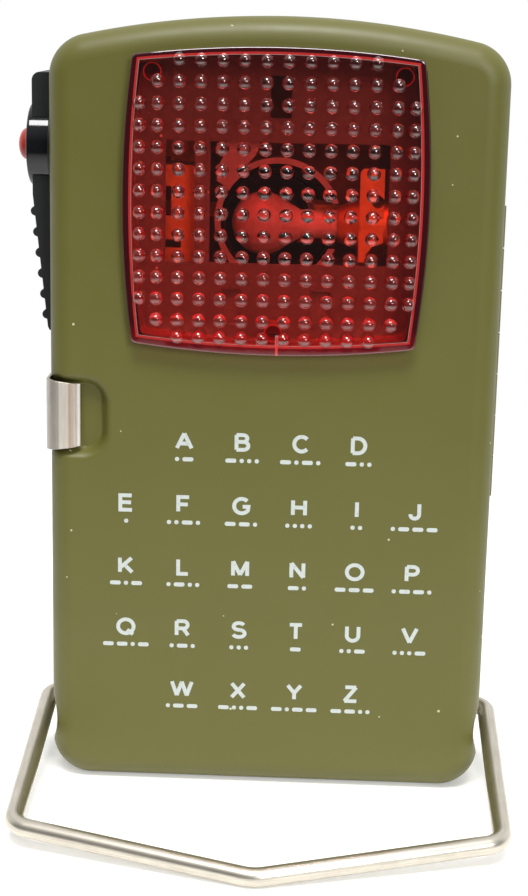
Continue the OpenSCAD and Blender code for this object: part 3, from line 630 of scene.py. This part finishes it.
# Painted highlight: a bright red ring round each peg, where glints would show
for x, z in peg_places:
    apart = get(tree, "ShaderNodeVectorMath", {"operation": "DISTANCE"}, {0: level, 1: (x, 0, z)}, "Value")
    gap = calc(tree, "ABSOLUTE", calc(tree, "SUBTRACT", apart, peg_radius))
    ring = calc(tree, "MULTIPLY", ramp(tree, gap, ring_reach, ring_reach / 2), at_back)
    seam_and_peg_glints = calc(tree, "MAXIMUM", seam_and_peg_glints, ring)
solid = calc(tree, "MAXIMUM", calc(tree, "MAXIMUM", pegs, rim), seam_and_peg_glints)
tint = tone(tree, solid, "#ffffff", tone(tree, seam_and_peg_glints, edge, "#d4403e"))
haze = ramp(tree, noise(tree, place, 8 * MM, 4), 0, 1, 0, 0.05)
feed(tree, shader, {"Base Color": tint, "Roughness": haze, "IOR": 1.55,
                    "Transmission Weight": ramp(tree, solid, 0, 1, 1, 0),
                    "Coat Weight": 1.0, "Coat Roughness": 0.02, "Coat IOR": 1.6})
soak = get(tree, "ShaderNodeVolumeAbsorption", {}, {"Color": soak_colour, "Density": soak_density})
let_through = tone(tree, rim, (0.95, 0.95, 0.95, 1.0), (0.36, 0.1, 0.08, 1.0))
passed = get(tree, "ShaderNodeBsdfTransparent", {}, {"Color": let_through})
lamp_light = get(tree, "ShaderNodeLightPath", output="Is Shadow Ray")
body = get(tree, "ShaderNodeMixShader", {}, {0: lamp_light, 1: shader.outputs[0], 2: passed})
feed(tree, tree.nodes["Material Output"], {"Surface": body, "Volume": soak})

lens_mesh = bmesh.new()
lens_mesh.from_mesh(run_nodes(domes, place_mesh("bead_places", [(x, lens_front, z) for x, z in bead_places]),
                              Radius=bead_radius, Height=bead_height, Material=red_clear))
lens_inset = lens_wall + lens_inner_edge
walls = arc(lens_edge, lens_front + lens_edge, lens_edge, -QUARTER, -2 * QUARTER, 5)
walls += [(0, lens_foot), (lens_wall, lens_foot)]
walls += arc(lens_inset, lens_back + lens_inner_edge, lens_inner_edge, 2 * QUARTER, 3 * QUARTER, 5)
join_rings(lens_mesh, [[lens_mesh.verts.new((x, y, z)) for x, z in bulged_square(lens_half - inset)]
                       for inset, y in reversed(walls)])
for y, inset, spots, reach, sides in ((lens_front, lens_edge, bead_places, bead_radius, bead_sides),
                                      (lens_back, lens_inset, peg_places, peg_radius, peg_sides)):
    fill_sheet(lens_mesh, y, bulged_square(lens_half - inset), [circle(x, z, reach, sides) for x, z in spots],
               lambda p: any(math.hypot(p.x - x, p.y - z) < 0.999 * reach for x, z in spots))
for x, z in peg_places:
    loops = [[lens_mesh.verts.new((px, y, pz)) for px, pz in circle(x, z, peg_radius, peg_sides)]
             for y in (peg_end, lens_back)]
    join_rings(lens_mesh, loops)
    lens_mesh.faces.new(loops[0])
bmesh.ops.remove_doubles(lens_mesh, verts=lens_mesh.verts, dist=weld)
bmesh.ops.recalc_face_normals(lens_mesh, faces=lens_mesh.faces)
beaded_lens = add_solid("beaded_lens", lens_mesh, red_clear, 40)
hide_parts("lens")
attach(beaded_lens, "case")


# Lamp works behind the lens
# A grey steel plate with a window, a bright bowl, a screw bulb in a flared brass holder, and brass strips.
# All of it shows red through the lens: bright where it is plated or brass, black where it is open.
def add_metal(name, colour, tarnish, roughness):
    """Rolled metal strip: a metallic skin with slow tarnish and a fine grain in its gloss."""
    finish, tree, shader = new_finish(name)
    place = find_place(tree)
    grain = noise(tree, place, 0.4 * MM, 3)
    feed(tree, shader, {"Base Color": tone(tree, noise(tree, place, 5 * MM, 4), colour, tarnish),
                        "Roughness": ramp(tree, grain, 0, 1, roughness - 0.08, roughness + 0.08),
                        "Metallic": 1.0})
    return finish


plated_steel = add_metal("zinc_plated_steel", "#b9b7b0", "#8f8d86", 0.38)
brass_strip = add_metal("rolled_brass", "#edcb7a", "#cfa354", 0.55)
grey_plate = add_paint("pale_primer_on_steel", "#62615b", "#6b6a63")
dress(grey_plate, "lens_frame")
dress(plated_steel, "peg_clips", "spacers", "frame_screws", "hinge_pin", "contact_stud", "button_clip",
      "bulb_tip", "bail_eyelets", "bulb_filament")
dress(brass_strip, "bulb_base", "bulb_holder", "tip_contact", "contact_plus", "contact_minus", "switch_strip",
      "bulb_strip", "battery_tab_plus", "battery_tab_minus", "slider_shoe")


def box_mesh(low, high):
    """A box between two corners."""
    mesh = bmesh.new()
    bmesh.ops.create_cube(mesh, size=1.0)
    for v in mesh.verts:
        v.co = Vector(low[i] + (v.co[i] + 0.5) * (high[i] - low[i]) for i in range(3))
    return mesh


# A strip of card glued behind the plate's low slots
frame_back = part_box("lens_frame")[1].y
card_low = Vector((-12.2 * MM, frame_back + 0.006 * MM, lens_z - 22.2 * MM))
card_size = Vector((24, 0.3, 8)) * MM
card = add_paint("grey_card", "#6b6a64", "#74736c")
slot_card = add_solid("slot_card", box_mesh(card_low, card_low + card_size), card)
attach(slot_card, "case")

# Nickel plate, polished in the bowl and left satin on its flat rim; the rim, picked by facing the front, also
# gets a lighter colour, a painted sheen that shows as a pale ring
bright_plate, tree, shader = new_finish("polished_nickel_bowl")
facing = split(tree, get(tree, "ShaderNodeTexCoord", output="Normal"))
rim = ramp(tree, facing["Y"], -0.9, -0.98)
satin = ramp(tree, noise(tree, find_place(tree), 2 * MM, 4), 0, 1, 0.45, 0.6)
feed(tree, shader, {"Base Color": tone(tree, rim, "#7b7a78", "#b2b0ac"),
                    "Roughness": ramp(tree, rim, 0, 1, 0.06, satin), "Metallic": 1.0})
dress(bright_plate, "reflector")

# Frosted glass: a pale body that takes the light evenly, with painted light toward its neck, which lies in
# shade behind the plate
bulb_glass, tree, shader = new_finish("frosted_bulb_glass")
place = find_place(tree)
painted_neck_light = ramp(tree, split(tree, place)["X"], 1 * MM, 5 * MM)
feed(tree, shader, {"Base Color": tone(tree, painted_neck_light, "#b8b6b0", "#dedad0"),
                    "Roughness": ramp(tree, noise(tree, place, 0.6 * MM, 3), 0, 1, 0.3, 0.45),
                    "Transmission Weight": 0.25, "IOR": 1.5})
dress(bulb_glass, "bulb_glass")


# Contact board and battery
# Brown laminated board carries the strips behind the lens plate, and a flat battery in paper stands below it.
# A soft pad in the cover presses the battery forward.
def add_moulding(name, colour, other, roughness, grain, depth):
    """Moulded or pressed stuff: an even colour with slight mottle, and a fine grain that breaks its gloss."""
    finish, tree, shader = new_finish(name)
    place = find_place(tree)
    fine = noise(tree, place, grain, 2)
    feed(tree, shader, {"Base Color": tone(tree, noise(tree, place, 6 * grain, 5), colour, other),
                        "Roughness": ramp(tree, fine, 0, 1, roughness - 0.06, roughness + 0.06),
                        "Normal": bumps(tree, fine, 0.2, depth)})
    return finish


fibre_board = add_moulding("laminated_fibre_board", "#6d4b2b", "#7d5a35", 0.5, 0.5 * MM, 0.02 * MM)
battery_paper = add_moulding("waxed_battery_paper", "#2c4673", "#35507e", 0.42, 0.6 * MM, 0.02 * MM)
black_glaze = add_moulding("black_glass_insulator", "#141416", "#1c1c1f", 0.15, 0.5 * MM, 0.01 * MM)
dress(fibre_board, "contact_board", "switch_base")
dress(battery_paper, "flat_battery")
dress(black_glaze, "bulb_insulator")

pad_foam = add_moulding("open_cell_foam", "#2f2f30", "#3d3d3e", 0.95, 0.5 * MM, 0.2 * MM)
pad_mesh = box_mesh(*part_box("battery_pad"))
bmesh.ops.bevel(pad_mesh, geom=pad_mesh.edges[:], offset=0.6 * MM, segments=3, affect="EDGES")
foam_pad = add_solid("foam_pad", pad_mesh, pad_foam)
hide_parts("battery_pad")
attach(foam_pad, "cover")


# Switch
# A black slider in matt plastic, with grip ribs, a glossy round collar, and a red button in its middle.
# Moulded edges are slightly rounded, so they catch a thin line of light.
matt_black = add_moulding("matt_black_plastic", "#1a1b1d", "#202123", 0.5, 0.35 * MM, 0.03 * MM)
gloss_black = add_moulding("gloss_black_plastic", "#121315", "#161719", 0.09, 2 * MM, 0.004 * MM)
gloss_red = add_moulding("gloss_red_plastic", "#b5352f", "#bd3c35", 0.3, 0.8 * MM, 0.01 * MM)

# The slider is its solid with the edges rounded
slider_mesh = bmesh.new()
slider_mesh.from_mesh(nodes["switch_slider"].data)
bmesh.ops.remove_doubles(slider_mesh, verts=slider_mesh.verts, dist=0.002 * MM)
bmesh.ops.dissolve_limit(slider_mesh, angle_limit=math.radians(0.5), verts=slider_mesh.verts,
                         edges=slider_mesh.edges)
slide_switch = add_solid("slide_switch", slider_mesh, matt_black, 30)
round_edges(slide_switch, "moulded_edges", 0.25 * MM, 4, 40)
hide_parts("switch_slider")
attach(slide_switch, "slider")


# The collar and the button are turned: a straight side with a rounded edge, and a low dome inside it
turn_sides = 72


def turn_piece(name, node, profile, finish):
    """A round piece along X, in the middle of a solid, from its profile of places and radii."""
    low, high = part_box(node)
    y0, z0 = (low.y + high.y) / 2, (low.z + high.z) / 2
    mesh = bmesh.new()
    rings = [[mesh.verts.new((x, y, z)) for y, z in circle(y0, z0, r, turn_sides)] for x, r in profile]
    is_ring = profile[0][1] > 0
    join_rings(mesh, rings + rings[:1] if is_ring else rings)
    bmesh.ops.remove_doubles(mesh, verts=mesh.verts, dist=0.001 * MM)
    bmesh.ops.recalc_face_normals(mesh, faces=mesh.faces)
    return add_solid(name, mesh, finish, 35)


collar_low, collar_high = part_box("button_collar")
button_low, button_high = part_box("morse_button")
collar_radius, collar_hole, collar_edge = (collar_high.z - collar_low.z) / 2, 2.75 * MM, 0.4 * MM
collar_face = collar_low.x + 1.1 * MM
collar_profile = [(collar_face, collar_hole), (collar_high.x, collar_hole), (collar_high.x, collar_radius),
                  (collar_face + 1.2 * collar_edge, collar_radius)]
collar_profile += arc(collar_face + collar_edge, collar_radius - collar_edge, collar_edge, QUARTER,
                      2 * QUARTER, 6)
switch_collar = turn_piece("switch_collar", "button_collar", collar_profile, gloss_black)
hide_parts("button_collar")
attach(switch_collar, "slider")

button_radius, button_dome, stem_radius, stem_run = 2.65 * MM, 1.4 * MM, 1.2 * MM, 6.2 * MM
button_profile = [(button_high.x, 0.0), (button_high.x, stem_radius), (button_high.x - stem_run, stem_radius),
                  (button_high.x - stem_run, button_radius)]
button_profile += [(button_low.x + button_dome * (1 - math.sin(a)), button_radius * math.cos(a))
                   for a in even(0, QUARTER, 6)]
signal_button = turn_piece("signal_button", "morse_button", button_profile, gloss_red)
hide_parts("morse_button")
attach(signal_button, "button")


def close_tube(mesh, rings):
    """Faces along a row of rings and over both its ends."""
    join_rings(mesh, rings)
    mesh.faces.new(rings[0])
    mesh.faces.new(rings[-1])
    bmesh.ops.recalc_face_normals(mesh, faces=mesh.faces)


# The return spring between the slider's floor and the button's cap; it shortens when the button is pressed
spring_low, spring_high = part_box("button_spring")
spring_wire, spring_turns, turn_steps, wire_sides = 0.2 * MM, 2, 40, 10
spring_radius = (spring_high.z - spring_low.z) / 2 - spring_wire
spring_y, spring_z = (button_low.y + button_high.y) / 2, (button_low.z + button_high.z) / 2
spring_from, spring_to = spring_high.x - 1.05 * spring_wire, spring_low.x + 1.05 * spring_wire
spring_steps = spring_turns * turn_steps
spring_mesh = bmesh.new()
spring_rings = []
for x, turn in zip(even(spring_from, spring_to, spring_steps),
                   even(0, 4 * QUARTER * spring_turns, spring_steps)):
    c, s = math.cos(turn), math.sin(turn)
    spring_rings.append([spring_mesh.verts.new((x + dx, spring_y + r * c, spring_z + r * s))
                         for r, dx in circle(spring_radius, 0, spring_wire, wire_sides)])
close_tube(spring_mesh, spring_rings)
return_spring = add_solid("return_spring", spring_mesh, plated_steel, 40)
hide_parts("button_spring")
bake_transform(return_spring)


def bent_strip(name, line, low, high, sheet):
    """A strip of brass sheet, from low to high along Y, whose middle follows a line of places in X and Z."""
    mesh = bmesh.new()
    rows = []
    for i, (x, z) in enumerate(line):
        before, after = line[max(i - 1, 0)], line[min(i + 1, len(line) - 1)]
        across = Vector((before[1] - after[1], after[0] - before[0])).normalized() * sheet / 2
        rows.append([mesh.verts.new((x + part * across.x, y, z + part * across.y))
                     for part, y in ((-1, low), (1, low), (1, high), (-1, high))])
    close_tube(mesh, rows)
    piece = add_solid(name, mesh, brass_strip, 35)
    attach(piece, "case")
    return piece


# The contact leaf: a foot on its block, and a bowed spring that the button's stem presses flat on the stud
leaf_low, leaf_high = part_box("morse_leaf")
leaf_x, leaf_sheet = (leaf_low.x + leaf_high.x) / 2, 0.25 * MM
block_top, leaf_root = leaf_low.z + 3.5 * MM, leaf_high.x + 0.85 * MM
hook_radius, hook_top = 0.35 * MM, block_top + 0.15 * MM
foot_line = [(leaf_x, leaf_low.z)]
foot_line += arc(leaf_x + hook_radius, hook_top - hook_radius, hook_radius, 2 * QUARTER, QUARTER, 6)
foot_line += [(leaf_root + 0.1 * MM, hook_top)]
bent_strip("leaf_foot", foot_line, leaf_low.y, leaf_high.y, leaf_sheet)
bow_from, bow_run, bow_steps = block_top + 0.27 * MM, 1.0 * MM, 12
leaf_line = [(leaf_root + (leaf_x - leaf_root) * ease(t), bow_from + bow_run * t)
             for t in even(0, 1, bow_steps)]
leaf_line += [(leaf_x, leaf_high.z)]
contact_leaf = bent_strip("contact_leaf", leaf_line, leaf_low.y, leaf_high.y, leaf_sheet)
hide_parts("morse_leaf")
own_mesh(contact_leaf)


# Spring clip
# A strip of stainless spring steel on the left side, bent round the front edge and turned in at its end.
# It was brushed across its length before bending, and a tab at its back hooks into the cover.
clip_width, clip_sheet, clip_taper = clip_high.z - clip_low.z, 0.5 * MM, 0.7 * MM
clip_x, clip_turn = -side - clip_sheet, 2.15 * MM
clip_front = front_y + 1.9 * MM - clip_turn
lip_x, lip_curl, lip_angle = -side + 3.6 * MM, 0.9 * MM, math.radians(50)
lip_centre, lip_reach = clip_front + clip_sheet + lip_curl, 2 * lip_curl + clip_sheet
lip_end, lip_low = lip_x + lip_reach * math.sin(lip_angle), lip_centre - lip_reach * math.cos(lip_angle)
hook_y, hook_x, hook_bend, tab_half = 11.45 * MM, -35.8 * MM, 0.6 * MM, 3 * MM
hook_centre = hook_y + 0.25 * MM - hook_bend


def add_strip(mesh, line, reach):
    """A strip of faces along a line in the plan view, as high as reach gives for each x."""
    rows = [[mesh.verts.new((x, y, clip_middle + up * reach(x))) for x, y in line] for up in (-1, 1)]
    for i in range(len(line) - 1):
        mesh.faces.new((rows[0][i], rows[0][i + 1], rows[1][i + 1], rows[1][i]))


def clip_reach(x):
    """Half the clip's width: full along the side, less at the free end."""
    run = min(1.0, max(0.0, (x - clip_x - clip_sheet) / (lip_end - clip_x - clip_sheet)))
    return clip_width / 2 - clip_taper * run


clip_line = [(clip_x, hook_y - 0.25 * MM), (clip_x, -2 * MM)]
clip_line += arc(clip_x + clip_turn, clip_front + clip_turn, clip_turn, 2 * QUARTER, 3 * QUARTER, 14)
clip_line += arc(lip_x, lip_centre, lip_curl + clip_sheet, 3 * QUARTER, 3 * QUARTER + lip_angle, 8)
clip_line += arc(lip_end, lip_low, lip_curl, QUARTER + lip_angle, QUARTER, 8)[1:]
tab_line = [(hook_x, hook_y - 1.5 * MM)]
tab_line += arc(hook_x - hook_bend, hook_centre, hook_bend, 0, QUARTER, 5)
tab_line += arc(clip_x + hook_bend, hook_centre, hook_bend, QUARTER, 2 * QUARTER, 5)
tab_line += [(clip_x, hook_y - 0.7 * MM)]
clip_mesh = bmesh.new()
add_strip(clip_mesh, clip_line, clip_reach)
add_strip(clip_mesh, tab_line, lambda x: tab_half)


def add_brushed(name, colour, other, roughness, grain, run, where):
    """Brushed or drawn stainless steel: fine lines in colour, gloss and relief, coarse enough to show."""
    finish, tree, shader = new_finish(name)
    place = where(tree)
    drawn = get(tree, "ShaderNodeMapping", {}, {"Vector": place, "Scale": (1, 1, run)})
    lines = noise(tree, drawn, grain, 3)
    stained = calc(tree, "MULTIPLY_ADD", noise(tree, place, 3 * MM, 4), 0.5, lines)
    feed(tree, shader, {"Base Color": tone(tree, ramp(tree, stained, 0.5, 1), colour, other),
                        "Roughness": ramp(tree, lines, 0, 1, roughness - 0.1, roughness + 0.1),
                        "Normal": bumps(tree, lines, 0.12, 0.02 * MM), "Metallic": 1.0})
    return finish


clip_steel = add_brushed("brushed_spring_steel", "#f4efe7", "#e0dad1", 0.5, 0.25 * MM, 0.04, find_place)

# Painted reflections along the clip's run: a dull flank, a bright front, a brown line at the lip's bend and a
# bright end
tree = clip_steel.node_tree
clip_run = ramp(tree, split(tree, find_place(tree))["X"], clip_x, lip_end)
zones = add(tree, "ShaderNodeValToRGB", {}, {"Fac": clip_run})
for spot, colour in ((0.38, "#d3d1ce"), (0.42, "#ffffff"), (0.66, "#fffaf4"), (0.7, "#dac9bc"),
                     (0.8, "#dccdc2"), (0.86, "#ffffff")):
    zones.color_ramp.elements.new(spot).color = srgb(colour)
zones.color_ramp.elements[0].color = srgb("#d3d1ce")
steel = tree.nodes["Principled BSDF"].inputs["Base Color"]
steel_with_painted_reflections = get(tree, "ShaderNodeMix", {"data_type": "RGBA", "blend_type": "MULTIPLY"},
             {0: 1.0, 6: steel.links[0].from_socket, 7: zones.outputs["Color"]}, 2)
tree.links.new(steel_with_painted_reflections, steel)
spring_clip = add_solid("spring_clip", clip_mesh, clip_steel, 180)
modify(spring_clip, "sheet_thickness", "SOLIDIFY", thickness=clip_sheet, offset=-1, use_even_offset=True)
round_edges(spring_clip, "broken_edges", 0.08 * MM, 2, 40)
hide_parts("latch_clip")
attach(spring_clip, "latch")


# Bail
# Stainless wire bent to a shallow point, with its ends turned in to pivot in the case's eyelets.
# Geometry Nodes sweep a round section along the bent line; drawing the wire left faint lines along it.
wire_radius, bail_half, bail_arm, bail_slope = 1.55 * MM, 39.6 * MM, 41.5 * MM, math.radians(16)
apex_bend, corner_bend, pivot_bend, wire_end = 6 * MM, 3.5 * MM, 2.6 * MM, 33.6 * MM
apex_z = apex_bend / math.cos(bail_slope) - bail_arm - bail_half * math.tan(bail_slope)
corner_z = corner_bend * math.tan((QUARTER - bail_slope) / 2) - bail_arm
bail_lean = math.acos((pivot_z - wire_radius) / (apex_bend - apex_z))
half_wire = arc(0, apex_z, apex_bend, -QUARTER, -QUARTER + bail_slope, 6)
half_wire += arc(bail_half - corner_bend, corner_z, corner_bend, -QUARTER + bail_slope, 0, 14)
half_wire += arc(bail_half - pivot_bend, -pivot_bend, pivot_bend, 0, QUARTER, 12) + [(wire_end, 0)]
wire_line = [(-x, z) for x, z in reversed(half_wire[1:])] + half_wire
wire_curve = bpy.data.curves.new("bail_line", "CURVE")
wire_curve.dimensions = "3D"
spline = wire_curve.splines.new("POLY")
spline.points.add(len(wire_line) - 1)
for point, (x, z) in zip(spline.points, wire_line):
    point.co = (x, pivot_y + z * math.sin(bail_lean), pivot_z + z * math.cos(bail_lean), 1)


def keep(tree, made, name, kind, value):
    """Keeps a value on each point under a name, for the finish to read."""
    return get(tree, "GeometryNodeStoreNamedAttribute", {"data_type": kind},
               {"Geometry": made, "Name": name, "Value": value})


def wire_place(tree):
    """The place of each point on the straight wire, before it was bent."""
    section = get(tree, "ShaderNodeAttribute", {"attribute_name": "section"}, output="Vector")
    along = get(tree, "ShaderNodeAttribute", {"attribute_name": "along"}, output="Fac")
    run = get(tree, "ShaderNodeCombineXYZ", {}, {"Z": along})
    return get(tree, "ShaderNodeVectorMath", {"operation": "ADD"}, {0: section, 1: run})


sweep, given = node_group("bent_wire", Line="Geometry", Radius="Float", Sides="Int", Material="Material")
ring = get(sweep, "GeometryNodeCurvePrimitiveCircle", {},
           {"Resolution": given["Sides"], "Radius": given["Radius"]})
section = keep(sweep, ring, "section", "FLOAT_VECTOR", get(sweep, "GeometryNodeInputPosition"))
run = get(sweep, "GeometryNodeSplineParameter", output="Length")
line = keep(sweep, given["Line"], "along", "FLOAT", run)
swept = get(sweep, "GeometryNodeCurveToMesh", {},
            {"Curve": line, "Profile Curve": section, "Fill Caps": True})
end_group(sweep, get(sweep, "GeometryNodeSetShadeSmooth", {}, {"Geometry": swept}), given["Material"])

wire_steel = add_brushed("drawn_stainless_wire", "#dbd5c8", "#c1baad", 0.36, 0.22 * MM, 0.03, wire_place)
wire_mesh = run_nodes(sweep, wire_curve, Radius=wire_radius, Sides=32, Material=wire_steel)
wire_mesh.name = "wire_bail"
wire_mesh.set_sharp_from_angle(angle=math.radians(60))
wire_bail = add_piece("wire_bail", wire_mesh, wire_steel)
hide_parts("bail")
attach(wire_bail, "bail")


# Printed table
# The alphabet with its dots and dashes, screen printed in white on the front, thin enough to feel flat.
# Letters are drawn as bold strokes; the marks under them are one rounded bar that Geometry Nodes repeats.
morse = dict(zip("ABCDEFGHIJKLM", ".- -... -.-. -.. . ..-. --. .... .. .--- -.- .-.. --".split()))
morse.update(zip("NOPQRSTUVWXYZ", "-. --- .--. --.- .-. ... - ..- ...- .-- -..- -.-- --..".split()))
table_rows = [(1, "ABCD"), (0, "EFGHIJ"), (0, "KLMNOP"), (0, "QRSTUV"), (1, "WXYZ")]
column_pitch, row_pitch, table_x, table_top = 9.79 * MM, 11.09 * MM, 0.2 * MM, 62.06 * MM
letter_height, letter_stroke, letter_drop = 3.2 * MM, 0.66 * MM, 0.2 * MM
mark_drop, mark_width, mark_gap, mark_corner = 3.4 * MM, 0.72 * MM, 0.55 * MM, 0.3 * MM
dash_length, ink_depth, ink_layer = 1.85 * MM, 0.03 * MM, 0.004 * MM


def bow(x, z, across, up, first, last):
    """Points along part of an oval, with angles in degrees."""
    count = max(4, round(abs(last - first) / 15))
    return [(x + across * math.cos(a), z + up * math.sin(a))
            for a in even(math.radians(first), math.radians(last), count)]


# The middle of each stroke, from 0 to 1 in height
strokes = {
    "A": [[(0, 0), (0.46, 1), (0.92, 0)], [(0.16, 0.31), (0.76, 0.31)]],
    "B": [[(0, 0), (0, 1)], [(0, 1), (0.42, 1)] + bow(0.42, 0.77, 0.25, 0.23, 90, -90) + [(0, 0.54)],
          [(0.3, 0.54), (0.42, 0.54)] + bow(0.44, 0.27, 0.3, 0.27, 90, -90) + [(0, 0)]],
    "C": [bow(0.46, 0.5, 0.46, 0.5, 42, 318)],
    "D": [[(0, 0), (0, 1)], [(0, 1), (0.32, 1)] + bow(0.32, 0.5, 0.46, 0.5, 90, -90) + [(0, 0)]],
    "E": [[(0.72, 1), (0, 1), (0, 0), (0.74, 0)], [(0, 0.52), (0.68, 0.52)]],
    "F": [[(0.68, 1), (0, 1), (0, 0)], [(0, 0.49), (0.6, 0.49)]],
    "G": [bow(0.48, 0.5, 0.48, 0.5, 45, 325) + [(0.9, 0.46), (0.54, 0.46)]],
    "H": [[(0, 0), (0, 1)], [(0.76, 0), (0.76, 1)], [(0, 0.52), (0.76, 0.52)]],
    "I": [[(0, 0), (0, 1)]],
    "J": [[(0.54, 1), (0.54, 0.27)] + bow(0.27, 0.27, 0.27, 0.27, -15, -185)],
    "K": [[(0, 0), (0, 1)], [(0.74, 1), (0.04, 0.32)], [(0.27, 0.55), (0.78, 0)]],
    "L": [[(0, 1), (0, 0), (0.62, 0)]],
    "M": [[(0, 0), (0, 1), (0.45, 0.06), (0.9, 1), (0.9, 0)]],
    "N": [[(0, 0), (0, 1), (0.76, 0), (0.76, 1)]],
    "O": [bow(0.5, 0.5, 0.5, 0.5, 0, 360)],
    "P": [[(0, 0), (0, 1)], [(0, 1), (0.42, 1)] + bow(0.42, 0.73, 0.28, 0.27, 90, -90) + [(0, 0.46)]],
    "Q": [bow(0.5, 0.5, 0.5, 0.5, 0, 360), [(0.58, 0.27), (0.96, -0.06)]],
    "R": [[(0, 0), (0, 1)], [(0, 1), (0.44, 1)] + bow(0.44, 0.74, 0.27, 0.26, 90, -90) + [(0, 0.48)],
          [(0.42, 0.48), (0.74, 0)]],
    "S": [bow(0.38, 0.755, 0.34, 0.245, 25, 262) + bow(0.38, 0.255, 0.38, 0.255, 82, -160)],
    "T": [[(0, 1), (0.78, 1)], [(0.39, 1), (0.39, 0)]],
    "U": [[(0, 1), (0, 0.36)] + bow(0.37, 0.36, 0.37, 0.36, 190, 350) + [(0.74, 0.36), (0.74, 1)]],
    "V": [[(0, 1), (0.44, 0), (0.88, 1)]],
    "W": [[(0, 1), (0.32, 0), (0.64, 1), (0.96, 0), (1.28, 1)]],
    "X": [[(0, 0), (0.8, 1)], [(0, 1), (0.8, 0)]],
    "Y": [[(0, 1), (0.42, 0.45)], [(0.84, 1), (0.42, 0.45), (0.42, 0)]],
    "Z": [[(0.04, 1), (0.74, 1), (0, 0), (0.78, 0)]],
}


def add_stroke(mesh, line, width, depth):
    """A flat band along a line in the front view, with mitred corners."""
    closed = math.dist(line[0], line[-1]) < 0.01 * MM
    line = line[:-1] if closed else line
    points = [Vector(b) for a, b in zip([None] + line, line) if a is None or math.dist(a, b) > 0.001 * MM]
    runs = [(b - a).normalized() for a, b in zip(points, points[1:] + points[:1])]
    edges = []
    for i, point in enumerate(points):
        after = runs[i] if closed or i < len(points) - 1 else runs[i - 1]
        before = runs[i - 1] if closed or i > 0 else after
        across = Vector((-before.y - after.y, before.x + after.x)).normalized()
        reach = width / 2 / across.dot(Vector((-after.y, after.x)))
        ends = (point - across * reach, point + across * reach)
        edges.append([mesh.verts.new((p.x, depth, p.y)) for p in ends])
    for a, b in zip(edges, edges[1:] + edges[:1] if closed else edges[1:]):
        mesh.faces.new((a[0], b[0], b[1], a[1]))


def split_sharp(line):
    """The same line in pieces that turn no sharper than a right angle."""
    pieces = [[line[0]]]
    for before, point, after in zip(line, line[1:], line[2:]):
        pieces[-1].append(point)
        if (Vector(point) - Vector(before)).dot(Vector(after) - Vector(point)) < -0.02:
            pieces.append([point])
    pieces[-1].append(line[-1])
    return pieces


# Screen ink: an even matt white, a little thinner here and there
white_ink, tree, shader = new_finish("white_screen_ink")
thin = ramp(tree, noise(tree, find_place(tree), 0.8 * MM, 4), 0.55, 0.8)
feed(tree, shader, {"Base Color": tone(tree, thin, "#ccd3cf", "#b3bab0"), "Roughness": 0.6})

print_mesh = bmesh.new()
dots, dashes = [], []
letter_scale = letter_height - letter_stroke
letter_spread = 1.06 * letter_scale
for row, (first, letters) in enumerate(table_rows):
    for column, letter in enumerate(letters):
        x = table_x + (first + column - 2.5) * column_pitch
        z = table_top - row * row_pitch
        ends = [p[0] for line in strokes[letter] for p in line]
        left = x - (min(ends) + max(ends)) / 2 * letter_spread
        foot = z - letter_drop - letter_scale / 2
        bands = [band for line in strokes[letter] for band in split_sharp(line)]
        for layer, band in enumerate(bands):
            add_stroke(print_mesh, [(left + px * letter_spread, foot + pz * letter_scale) for px, pz in band],
                       letter_stroke, front_y - ink_depth - layer * ink_layer)
        lengths = [mark_width if sign == "." else dash_length for sign in morse[letter]]
        start = x - (sum(lengths) + mark_gap * (len(lengths) - 1)) / 2
        for sign, length in zip(morse[letter], lengths):
            marks = dots if sign == "." else dashes
            marks.append((start + length / 2, front_y - ink_depth, z - mark_drop))
            start += length + mark_gap

bar, given = node_group("printed_mark", Places="Geometry", Length="Float", Width="Float", Corner="Float",
                        Material="Material")
outline = get(bar, "GeometryNodeCurvePrimitiveQuadrilateral", {},
              {"Width": given["Length"], "Height": given["Width"]})
rounded = get(bar, "GeometryNodeFilletCurve", {"mode": "POLY"},
              {"Curve": outline, "Radius": given["Corner"], "Count": 4})
filled = get(bar, "GeometryNodeFillCurve", {"mode": "NGONS"}, {"Curve": rounded})
stood = get(bar, "GeometryNodeTransform", {}, {"Geometry": filled, "Rotation": (QUARTER, 0, 0)})
marks = get(bar, "GeometryNodeInstanceOnPoints", {}, {"Points": given["Places"], "Instance": stood})
end_group(bar, marks, given["Material"])
for centres, length in ((dots, mark_width), (dashes, dash_length)):
    print_mesh.from_mesh(run_nodes(bar, place_mesh("mark_places", centres), Length=length, Width=mark_width,
                                   Corner=mark_corner, Material=white_ink))
for face in print_mesh.faces:
    face.normal_update()
    if face.normal.y > 0:
        face.normal_flip()
    face.smooth = False
printed_table = add_solid("printed_table", print_mesh, white_ink)
modify(printed_table, "ink_thickness", "SOLIDIFY", thickness=ink_depth, offset=-1)
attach(printed_table, "case")
